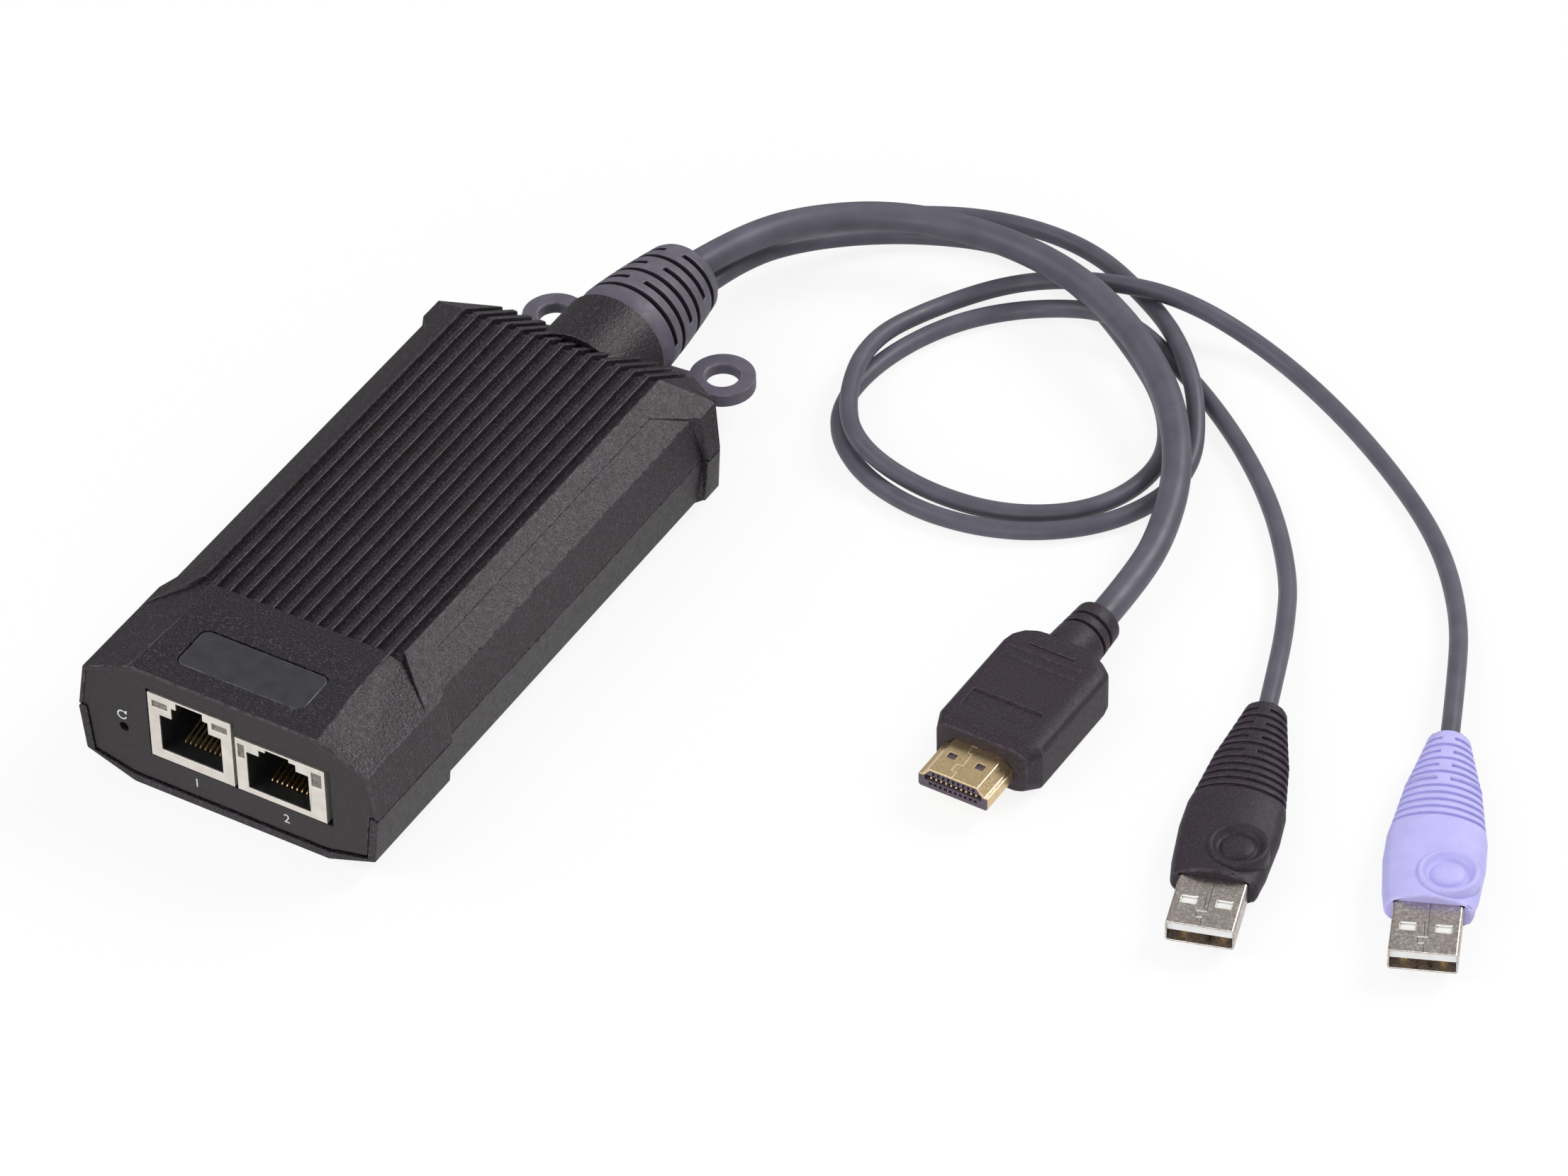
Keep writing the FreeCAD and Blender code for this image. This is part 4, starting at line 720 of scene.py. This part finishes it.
def front_wall_form(corner):
    """The front wall with more room on the right of the second jack than in the solid, and its left gap closed."""
    spot = corner.copy()
    if spot.y > WALL_BACK:
        return spot
    if abs(spot.x - WINDOW_SIDE) < ON_WINDOW and WINDOW_FOOT < spot.z < WINDOW_TOP:
        spot.x += WINDOW_ROOM
    left_side = WALL_SIDE + (WALL_SIDE_TOP - spot.z) * WALL_SIDE_SLOPE
    if abs(spot.x - left_side) < ON_SIDE and spot.z < WALL_SIDE_TOP + ON_TOP:
        spot.x -= WALL_GAP
    return spot


def on_front_wall(face):
    """1 for a face of the front wall, 0 elsewhere."""
    return float(face.normal.y < WALL_FACING and face.center.y / MM < PANEL_FACE + WALL_SKIN)


def mark_faces(piece, label, value):
    """Give every face of a piece a value that its finish reads."""
    mark = piece.data.attributes.new(label, "FLOAT", "FACE")
    mark.data.foreach_set("value", [value(face) for face in piece.data.polygons])


cover = softened("upper_case", "top_cover", case_black, cover_edges, flats=True, form=front_wall_form)
mark_faces(cover, "plain_wall", on_front_wall)
softened("lower_case", "bottom_cover", case_black, base_edges, flats=True)
softened("brow_plate", "name_plate", plate_grey, every_edge(PLATE_EDGE))

FLANGE_START, CONE_START, CONE_TIP, RELIEF_END = 66.5, 71.1, 91.1, 92.5
FLANGE_RADIUS, TIP_RADIUS = 10.7, 6.6
FLANGE_LEVEL, TIP_LEVEL = 15.4, 12.7
FLANGE_SWELL, END_SWELL = 0.91, 1.19
FLANGE_DROP, END_ASIDE = 0.6, 0.6
SLOT_DEPTH = 0.3
EAR_SIDE, EAR_ALONG, EAR_REACH = 18, 74.6, 6
EAR_ROOT, EAR_TOP = 14, 10
EAR_EDGE, GLAND_EDGE, RELIEF_EDGE, SLOT_EDGE = 0.5, 0.5, 0.15, 0.1


def relief_edges(middle, run, convex):
    """Round ears and gland, with fine slots."""
    if not convex:
        return SLOT_EDGE
    from_ear = math.hypot(abs(middle.x) - EAR_SIDE, middle.y - EAR_ALONG)
    if middle.z < EAR_TOP and from_ear < EAR_REACH and abs(middle.x) > EAR_ROOT:
        return EAR_EDGE
    return GLAND_EDGE if middle.y > RELIEF_END - 0.2 else RELIEF_EDGE


def between(start, end, share):
    """The value this share of the way from start to end."""
    return start + (end - start) * share


def relief_section(along):
    """Level and radius of the solid's cone at a place along it, and the copy's swell, middle across and level there."""
    taper = min(max((along - CONE_START) / (CONE_TIP - CONE_START), 0), 1)
    level = between(FLANGE_LEVEL, TIP_LEVEL, taper)
    share = (along - FLANGE_START) / (RELIEF_END - FLANGE_START)
    return (level, between(FLANGE_RADIUS, TIP_RADIUS, taper), between(FLANGE_SWELL, END_SWELL, share),
            -END_ASIDE * share, level - FLANGE_DROP * (1 - share))


def fuller_cone(spot):
    """The cone a little slimmer at its flange and fuller at its end; neck and ears stay."""
    if spot.y < FLANGE_START - 0.01 or abs(spot.x) > FLANGE_RADIUS + 0.5:
        return spot
    level, _, swell, new_middle, new_level = relief_section(spot.y)
    return Vector((new_middle + spot.x * swell, spot.y, new_level + (spot.z - level) * swell))


def deep_in_slot(face):
    """1 for a face that lies below the cone's skin, 0 elsewhere."""
    spot = face.center / MM
    if not CONE_START - 0.1 < spot.y < CONE_TIP - 0.2 or abs(spot.x) > FLANGE_RADIUS:
        return 0.0
    _, radius, swell, middle, level = relief_section(spot.y)
    return float(math.hypot(spot.x - middle, spot.z - level) < radius * swell - SLOT_DEPTH)


relief = softened("cord_relief", "strain_relief", relief_grey, relief_edges, form=fuller_cone)
mark_faces(relief, "slot_shade", deep_in_slot)

NUMERAL_HEIGHT, NUMERAL_LEVEL = 1.9, 5.1
TYPE_SHARE = 0.7
INK = 0.01
ARROW_PLACE = (-21.9, 14.5)
ARROW_START, ARROW_STEP, ARROW_STEPS = 60, 17.5, 17
ARROW_OUTER, ARROW_INNER = 1.02, 0.74
ARROW_TIP = ((0.2, 0.76), (0.95, 0.3), (1.05, 1.2))


def front_numeral(name, text, across):
    """A numeral printed on the front wall below a jack."""
    letters = bpy.data.curves.new(name, "FONT")
    letters.body = text
    letters.size = NUMERAL_HEIGHT / TYPE_SHARE
    letters.align_x = "CENTER"
    letters.align_y = "CENTER"
    letters.extrude = INK
    mesh = welded(evaluated(linked(name, letters)))
    place = Matrix.Translation((across, PANEL_FACE - INK, NUMERAL_LEVEL))
    upright = place @ Matrix.Rotation(math.pi / 2, 4, "X")
    settle(name, mesh, print_white, space=IN_PLACE @ upright)


def turn_mark():
    """A small printed arrow that turns back on itself, above the pin hole."""
    across, level = ARROW_PLACE
    turns = [math.radians(ARROW_START + step * ARROW_STEP) for step in range(ARROW_STEPS)]
    band = []
    for radius, order in ((ARROW_OUTER, turns), (ARROW_INNER, reversed(turns))):
        band += [(across + radius * math.cos(turn), level + radius * math.sin(turn)) for turn in order]
    tip = [(across + aside, level + rise) for aside, rise in ARROW_TIP]
    inked = [prism(name, outline, PANEL_FACE - 2 * INK, PANEL_FACE)
             for name, outline in (("arrow_band", band), ("arrow_tip", tip))]
    settle("turn_mark", joined("turn_mark", *inked), print_white)


front_numeral("numeral_one", "1", -7.0)
front_numeral("numeral_two", "2", 11.6)
turn_mark()

SCREW_PROFILE = [(0, 0.6), (1.9, 0.62), (2.4, 0.78), (2.65, 1.1), (2.7, 1.4), (2.7, 2.4), (1.25, 2.4), (1.25, 15.6),
                 (0.6, 16.4), (0, 16.4)]
CROSS_REACH, CROSS_HALF, CROSS_TOP = 1.35, 0.3, 1.5


def cover_screw():
    """A pan-head screw that points up, with a cross recess in its head."""
    arms = [block("cross_arm", (-wide, -long, 0), (wide, long, CROSS_TOP))
            for wide, long in ((CROSS_REACH, CROSS_HALF), (CROSS_HALF, CROSS_REACH))]
    return hollowed("cover_screw", turned("cover_screw", SCREW_PROFILE, steps=32), *arms)


screw_rows = [row("screw_row", cover_screw(), 2, (side, SCREW_FRONT, 0.0), (0.0, SCREW_REAR - SCREW_FRONT, 0.0),
                  screw_steel) for side in (-SCREW_SIDE, SCREW_SIDE)]
settle("case_screws", joined("case_screws", *screw_rows), screw_steel, ["cover_screws"])


# Jacks and board

JACK_ONE_MIDDLE, JACK_ONE_FLOOR = -7.3, 10.3
JACK_TWO_MIDDLE, JACK_TWO_FLOOR = 10.6, 9.4
MOUTH_SIDE, FRAME_SIDE, FRAME_EXTRA = 16.95, 19.2, 1.1
PANE_ASIDE, PANE_LEVEL, PANE_REACH, PANE_GROWTH = 6.6, 17.4, 1.2, 1.5
PANE_SINK = 0.28
FRAME_FACE = -61.4
FRAME_EDGE, PANE_EDGE = 0.06, 0.04
WIRES, WIRE_PITCH, WIRE_RADIUS = 8, 1.02, 0.2
# Of a jack's wire: places along the jack, and their rise above its floor
WIRE_BEND = ((-49.2, 2.7), (-53.5, 1.7), (-57.0, 0.9), (-58.2, 0.6), (-58.2, 0.25), (-57.2, 0.22), (-55.8, 0.22))
# A dark block behind the right side of the second jack's window: painted shade in the gap.
JACK_TWO_SHADE_BLOCK = ((20.35, -59.6, 8.2), (21.6, -58.9, 20.2))


def as_solid(corner):
    """The first jack keeps the solid's form."""
    return corner.copy()


def jack_two_form(corner):
    """The second jack's frame is wider on its right, and its lamp panes are taller, than in the solid."""
    spot = corner.copy()
    if abs(spot.x - JACK_TWO_MIDDLE) > PANE_ASIDE and abs(spot.z - PANE_LEVEL) < PANE_REACH:
        spot.z = PANE_LEVEL + (spot.z - PANE_LEVEL) * PANE_GROWTH
    if spot.x > MOUTH_SIDE:
        spot.x += FRAME_EXTRA * (spot.x - MOUTH_SIDE) / (FRAME_SIDE - MOUTH_SIDE)
    return spot


def sunk_pane(form):
    """The lamps, moved like their frame and set back from its face."""
    def moved(corner):
        spot = form(corner)
        spot.y += PANE_SINK if spot.y < FRAME_FACE + 0.01 else 0
        return spot
    return moved


def jack(name, middle, floor, form, wire_finish):
    """A jack's frame, lamp panes and bent wires round its insert."""
    softened(f"{name}_frame", f"{name}_shield", shield_tin, every_edge(FRAME_EDGE), segments=2,
             form=form)
    dress(insert_black, f"{name}_insert")
    softened(f"{name}_panes", f"{name}_lamps", lamp_clear, every_edge(PANE_EDGE), segments=2,
             form=sunk_pane(form))
    bend = [(0, along, floor + rise) for along, rise in WIRE_BEND]
    wires = row_across(f"{name}_wires", strand("jack_wire", bend, WIRE_RADIUS), WIRES, WIRE_PITCH, wire_finish, middle)
    settle(f"{name}_wires", wires, wire_finish, [f"{name}_contacts"])


# The first jack's wires take the darker gold: painted shade.
jack("jack_one", JACK_ONE_MIDDLE, JACK_ONE_FLOOR, as_solid, contact_dull)
jack("jack_two", JACK_TWO_MIDDLE, JACK_TWO_FLOOR, jack_two_form, contact_gold)
# The dark block that paints shade into the gap beside the second jack.
settle("jack_gasket", block("jack_gasket", *JACK_TWO_SHADE_BLOCK), insert_black)
dress(board_green, "main_board")
dress(chip_black, "processor_chip", "memory_chips", "network_transformer")
dress(header_white, "lead_headers")
dress(switch_steel, "reset_switch_body")
dress(plunger_black, "reset_plunger")
dress(lead_jacket, "video_tail", "black_tail", "lavender_tail")


# Plugs, each in its own frame along the axis from the mouth of its shell

GRIP_EDGE, GRIP_CORNER, MOUTH_EDGE, SHELL_EDGE = 0.2, 0.12, 0.08, 0.1


def plug_space(x, y, turn):
    """Where a plug's mouth lies on the desk, and how far the plug is turned in degrees."""
    return Matrix.Translation((x, y, 0)) @ Matrix.Rotation(math.radians(turn), 4, "Z")


def mirrored_outline(right):
    """An outline from its right half, listed from the top down."""
    return right + [(-x, z) for x, z in reversed(right)]


VIDEO_SPACE = plug_space(107.65, 2.13, -1.0)
VIDEO_PLACE = IN_PLACE @ VIDEO_SPACE
VIDEO_AXIS = 5.4
VIDEO_TOP = VIDEO_AXIS + 2.225
VIDEO_MOUTH = ((-7.1, 7.1), (-FAR, 12), (VIDEO_AXIS - 2.4, VIDEO_AXIS + 2.4))
VIDEO_FRONT, VIDEO_SHOULDER, VIDEO_SHOULDER_SIDE, VIDEO_SHOULDER_EDGE = 9.2, 12.5, 8, 0.3
FLANK_START, FLANK_EASE, FLANK_EXTRA = 7.3, 2.0, 1.3
VIDEO_RIDGE = ((-4.6, 33.9, 10.6), (4.6, 34.8, 11.1))
VIDEO_SHELL, VIDEO_WINDOWS = 11, ((-3.85, -2.25), (1.75, 3.35))
SEAM_WIDTH, SEAM_RISE = 0.17, 0.02
VIDEO_PITCH, UPPER_PINS, LOWER_PINS = 1.0, 10, 9
PIN_NOSE = [(0, -0.27), (0.19, -0.19), (0.27, 0), (0.19, 0.19), (0, 0.27)]
VIDEO_SEAM = [(-0.25, 9.0), (-1.35, 8.9), (-1.05, 6.95), (-0.3, 7.0), (-0.2, 3.6), (-1.25, 3.55), (-1.35, 1.75),
              (-0.3, 1.7), (-0.3, 0.1)]
WINDOW_EDGES = ([(-3.92, 4.3), (-3.92, 5.72), (-2.3, 5.72)], [(1.68, 4.3), (1.68, 5.72), (3.3, 5.72)])


def video_half(*corners):
    """An outline of the video plug from its right half, listed from the top down."""
    return mirrored_outline([(x, VIDEO_AXIS + z) for x, z in corners])


def video_form(corner):
    """The right flank of the grip a little further out than its solid's, as far as the shell allows."""
    spot = VIDEO_SPACE.inverted() @ corner
    spot.x += FLANK_EXTRA * min(max((spot.x - FLANK_START) / FLANK_EASE, 0), 1)
    return VIDEO_SPACE @ spot


def video_edges(middle, run, convex):
    """Fine round the shell, fuller at the shoulders of the grip."""
    spot = VIDEO_SPACE.inverted() @ middle
    if not convex:
        return GRIP_CORNER
    if within(spot, VIDEO_MOUTH):
        return MOUTH_EDGE
    shoulder = spot.y < VIDEO_SHOULDER and abs(spot.x) > VIDEO_SHOULDER_SIDE
    return VIDEO_SHOULDER_EDGE if shoulder or spot.y < VIDEO_FRONT else GRIP_EDGE


def video_shell_mesh():
    """The flared tube with two windows in its top."""
    outer = video_half((4.85, 2.225), (6.3, 0.55), (6.95, 0.42), (6.95, -1.85), (6.6, -2.225))
    inner = video_half((4.62, 1.825), (5.95, 0.2), (6.55, 0.08), (6.55, -1.5), (6.2, -1.825))
    windows = [block("video_window", (left, 4.25, VIDEO_AXIS), (right, 5.65, VIDEO_TOP + 1))
               for left, right in VIDEO_WINDOWS]
    return hollowed("video_shell", prism("video_tube", outer, 0, VIDEO_SHELL),
                    prism("video_bore", inner, -1, VIDEO_SHELL + 1), *windows)


def video_insert_mesh():
    """The block behind the mouth: a slot for the contacts with a row of notches above and below it."""
    outline = video_half((4.58, 1.8), (5.9, 0.18), (6.5, 0.06), (6.5, -1.68), (6.4, -1.8))
    face = video_half((6.9, 0.3), (6.9, -1.84), (6.57, -2.2))
    low = block("low_notch", (-0.32, -1, VIDEO_AXIS - 1.4), (0.32, 1.2, VIDEO_AXIS - 0.76))
    high = block("high_notch", (-0.24, -1, VIDEO_AXIS + 0.75), (0.24, 1.2, VIDEO_AXIS + 1.5))
    filled = joined("video_block", prism("video_block", outline, 0.12, 10.9), prism("video_face", face, -0.04, 0.25))
    return hollowed(
        "video_insert", filled, block("video_slot", (-5.7, -1, VIDEO_AXIS - 0.45), (5.7, 9, VIDEO_AXIS + 0.55)),
        row_across("low_notches", low, UPPER_PINS, VIDEO_PITCH, insert_grey),
        row_across("high_notches", high, LOWER_PINS, VIDEO_PITCH, insert_grey))


def video_pins_mesh():
    """Ten upper contacts with rounded noses and nine lower ones further back."""
    nose = turned("pin_nose", PIN_NOSE, steps=12)
    nose.transform(Matrix.Translation((0, 0.36, VIDEO_AXIS + 0.06)))
    bend = [(0, along, VIDEO_AXIS + rise) for along, rise in ((9, 0.4), (2.4, 0.4), (1.0, 0.3), (0.4, 0.08))]
    high = joined("upper_pin", strand("upper_pin", bend, WIRE_RADIUS), nose)
    low = block("lower_pin", (-0.22, 1.6, VIDEO_AXIS - 0.45), (0.22, 9, VIDEO_AXIS - 0.25))
    return joined("video_pins", row_across("upper_pins", high, UPPER_PINS, VIDEO_PITCH, contact_gold),
                  row_across("lower_pins", low, LOWER_PINS, VIDEO_PITCH, contact_gold))


def video_plug():
    """The pieces of the video plug."""
    ridge = rounded(block("video_ridge", *VIDEO_RIDGE), every_edge(GRIP_EDGE))
    grip = softened("video_grip", "video_plug_grip", grip_black, video_edges, form=video_form)
    # The seam and window-edge strips are lighter gold: painted highlight.
    seams = [ribbon("video_seam", line, SEAM_WIDTH, VIDEO_TOP + SEAM_RISE) for line in (VIDEO_SEAM, *WINDOW_EDGES)]
    return [
        grip,
        settle("video_ridge", ridge, grip_black, space=VIDEO_PLACE),
        settle("video_shell", rounded(video_shell_mesh(), every_edge(SHELL_EDGE), segments=2), gold_shell,
               ["video_plug_shell"], VIDEO_PLACE),
        settle("video_seam", joined("video_seam", *seams), burnished_gold, space=VIDEO_PLACE),
        settle("video_insert", video_insert_mesh(), insert_grey, ["video_plug_insert"], VIDEO_PLACE),
        settle("video_pins", video_pins_mesh(), contact_gold, ["video_plug_contacts"], VIDEO_PLACE),
    ]


DATA_AXIS = 4.46
DATA_TOP = DATA_AXIS + 2.25
DATA_SPACES = {"black": plug_space(161.66, -8.46, 16.6), "lavender": plug_space(197.35, 4.51, 22.3)}
GRIP_FRONT, SOLID_GROOVES, SOLID_TAIL = 14.6, 38.0, 60.0
# Of each grip: where its grooves start, where its tail ends, and how late its smooth front gives way
GROOVED_TAILS = {"black": (33.2, 57.4, 1.0), "lavender": (32.0, 55.2, 0.1)}
THUMB_DISH = [(0, -0.12), (0.9, -0.14), (1.8, -0.24), (2.5, -0.44), (2.9, -0.72), (3.1, -0.98), (3.35, -1.08),
              (3.65, -0.98), (4.0, -0.6), (4.3, -0.18), (4.55, 0.1), (4.8, 0.22), (5.05, 0.2), (5.28, 0.06),
              (5.45, -0.16), (5.45, -4.2), (0, -4.2)]
DISH_WELL = [(0, -1.6), (5.3, -1.6), (5.3, 2), (0, 2)]
DATA_LINES = ([(0.3, 11.9), (0.42, 3.9)], [(-0.32, 7.6), (-0.15, 4.3)], [(-1.28, 3.5), (-1.12, 2.2)],
              [(-0.1, 2.0), (0, 0.1)])
DATA_BARS = ([(-1.35, 3.62), (0.5, 3.72)], [(-1.1, 2.1), (-0.05, 2.16)])
DATA_MOUTH = ((-6.1, 6.1), (-FAR, 14.5), (DATA_AXIS - 2.35, DATA_AXIS + 2.35))
DATA_SHOULDER, DATA_SHOULDER_EDGE, TAIL_EDGE = 12.6, 0.45, 0.4
DATA_SHELL, DATA_WINDOWS = 14, ((-4.45, -1.65), (1.65, 4.45))
LINE_WIDTH, LINE_RISE, BAR_WIDTH, BAR_RISE = 0.14, 0.015, 0.32, 0.02
GRIP_WIDENING = 0.06
DISH_ASIDE, SOLID_DISH, DISH_LEVEL, DISH_REACH = 2.8, 19.2, 9.0, 5.8
LIP_ALONG, LIP_DROP, LIP_STEP, LIP_RADIUS = 6.98, 0.12, -6.1, 0.2
LIP_RUN = (1.7, 3.05, 4.4)


def data_outline(half, rise, corner):
    """A rectangle with round corners, from its right half."""
    right = []
    for middle, start in ((rise - corner, 90), (corner - rise, 0)):
        for step in range(5):
            turn = math.radians(start - step * 22.5)
            right.append((half - corner + corner * math.cos(turn), DATA_AXIS + middle + corner * math.sin(turn)))
    return mirrored_outline(right)


def data_shell_mesh():
    """The tube with two windows through its top and underside."""
    windows = [block("data_window", (left, 5.1, DATA_AXIS - 3), (right, 6.9, DATA_AXIS + 3))
               for left, right in DATA_WINDOWS]
    return hollowed("data_shell", prism("data_tube", data_outline(6.0, 2.25, 0.6), 0, DATA_SHELL),
                    prism("data_bore", data_outline(5.65, 1.9, 0.3), -1, DATA_SHELL + 1), *windows)


def data_plug(plug, finish):
    """The pieces of a data plug, whose grip has a finish of its own."""
    space = DATA_SPACES[plug]
    place = IN_PLACE @ space
    to_plug = space.inverted()
    grooves, tail, ease = GROOVED_TAILS[plug]
    squeeze = SOLID_GROOVES - grooves

    def smooth_run(along):
        """Place along the smooth front of the grip, whose length gives way to the grooves."""
        share = (along - GRIP_FRONT) / (SOLID_GROOVES - GRIP_FRONT)
        return along - squeeze * share * (1 - ease * (1 - share))

    def grip_form(corner):
        """Grooves that start nearer to the dish, and a shorter, fuller tail than the solid's."""
        spot = to_plug @ corner
        if spot.y <= GRIP_FRONT:
            return corner
        if spot.y < SOLID_GROOVES:
            share = (spot.y - GRIP_FRONT) / (SOLID_GROOVES - GRIP_FRONT)
            spot.y = smooth_run(spot.y)
        else:
            share = (SOLID_TAIL - spot.y) / (SOLID_TAIL - SOLID_GROOVES)
            spot.y = tail - share * (tail - grooves)
        spot.x *= 1 + GRIP_WIDENING * share
        return space @ spot

    dish_along = smooth_run(SOLID_DISH)

    def grip_edges(middle, run, convex):
        """Fine round the shell, crisp at the dish, full at both ends of the grip."""
        spot = to_plug @ middle
        if not convex:
            return GRIP_CORNER
        if within(spot, DATA_MOUTH):
            return MOUTH_EDGE
        if math.hypot(spot.x - DISH_ASIDE, spot.y - dish_along) < DISH_REACH and spot.z > DISH_LEVEL - 2:
            return 0
        if spot.y < DATA_SHOULDER:
            return DATA_SHOULDER_EDGE
        return TAIL_EDGE if spot.y > tail - TAIL_EDGE else GRIP_EDGE

    dish_place = Matrix.Translation((DISH_ASIDE, dish_along, DISH_LEVEL))
    dish = turned("thumb_dish", THUMB_DISH, steps=64)
    dish.transform(dish_place)
    well = turned("dish_well", DISH_WELL, steps=64)
    well.transform(space @ dish_place)
    lines = [ribbon("seam_line", line, LINE_WIDTH, DATA_TOP + LINE_RISE) for line in DATA_LINES]
    # The bars and window lips are lighter nickel: painted highlight.
    bars = [ribbon("seam_bar", bar, BAR_WIDTH, DATA_TOP + BAR_RISE) for bar in DATA_BARS]
    lip = strand("window_lip", [(across, LIP_ALONG, DATA_TOP - LIP_DROP) for across in LIP_RUN], LIP_RADIUS)
    lips = row("window_lips", lip, 2, (0.0, 0.0, 0.0), (LIP_STEP, 0.0, 0.0), burnished_nickel)
    dress(tongue_white, f"{plug}_plug_tongue")
    dress(contact_gold, f"{plug}_plug_contacts")
    return [
        softened(f"{plug}_grip", f"{plug}_plug_grip", finish, grip_edges, cutters=[well],
                 form=grip_form),
        settle(f"{plug}_thumb_dish", dish, finish, space=place),
        settle(f"{plug}_shell", rounded(data_shell_mesh(), every_edge(SHELL_EDGE), segments=2), nickel_shell,
               [f"{plug}_plug_shell"], place),
        settle(f"{plug}_seam", joined("seam_lines", *lines), seam_dark, space=place),
        settle(f"{plug}_seam_tabs", joined("seam_bars", lips, *bars), burnished_nickel, space=place),
        f"{plug}_plug_tongue", f"{plug}_plug_contacts"]


# Leads: radius in millimetres, length in metres, and the route from the relief to the grip in millimetres

DESK = 1.75
LEADS = {
    "video": (2.75, 0.1858, [
        (0.8, 92.5, 14.9), (4, 104, 14.7), (10.5, 117, 13.3), (23.5, 128.9, 11.5), (42, 133.4, 10.4),
        (60.5, 130.6, 10.4), (77.5, 122, 10.2), (92, 110, 8.6), (102.5, 94, 7.3), (107.8, 77, 6),
        (108.72, 63.52, 5.4), (108.53, 52.52, 5.4)]),
    "black": (1.7, 0.4348, [
        (-2, 92.5, 9.6), (-1.6, 106, 8.4), (3.5, 123.5, 4.2), (16.5, 138.8, 2), (34.5, 148, DESK),
        (54, 148.6, DESK), (71, 140.2, DESK), (85, 126.3, 7.2), (95.2, 114.6, 5.8), (102.2, 99.5, DESK),
        (97.2, 82, DESK), (83.5, 70.3, DESK), (66, 66.2, DESK), (49, 70.2, DESK), (37, 81.5, DESK),
        (35.6, 98, DESK), (41.8, 115.8, DESK), (53.5, 127.6, 2), (71, 129.3, 6.6), (88, 124.3, 2),
        (104.5, 112.8, DESK), (119, 99, DESK), (130.6, 83.2, DESK), (136.3, 70.9, 2.6),
        (140.9, 59.3, 4.46), (145.35, 46.25, 4.46)]),
    "lavender": (1.7, 0.4383, [
        (2, 92.5, 9.6), (3.2, 106, 8.4), (9.5, 122, 4.6), (23, 135.5, 2), (41, 142, DESK),
        (58, 137.5, DESK), (74, 127, DESK), (88.5, 115, DESK), (96.5, 100, DESK), (92.5, 83.5, DESK),
        (79, 73.5, DESK), (62, 71, 2.6), (46.8, 72.8, 6.2), (38.2, 84.5, 6), (33.4, 101.5, 4.8),
        (37.3, 118.8, DESK), (48.5, 131.5, 3.6), (64, 136.3, 6.4), (80, 137.8, 7.4), (97, 138.3, 1.9),
        (117, 128.8, DESK), (136, 116.3, DESK), (150.5, 104, DESK), (162, 88.5, 1.9),
        (170.41, 70.2, 4.46), (176.52, 55.3, 4.46)]),
}


def lead(name, plug_pieces):
    """A lead from the relief to the grip of its plug."""
    radius, length, route = LEADS[name]
    course = [Vector(place) * MM for place in route]
    curve = wire_curve(f"{name}_cord", course, radius * MM, steps_along=10, steps_round=6)
    curve.materials.append(lead_jacket.material)
    cord = linked(f"{name}_cord", curve)
    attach(cord, HOUSING)
    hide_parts(f"{name}_lead")
    [part * MM for part in route[0]]


lead("video", video_plug())
lead("black", data_plug("black", grip_black))
lead("lavender", data_plug("lavender", grip_lavender))
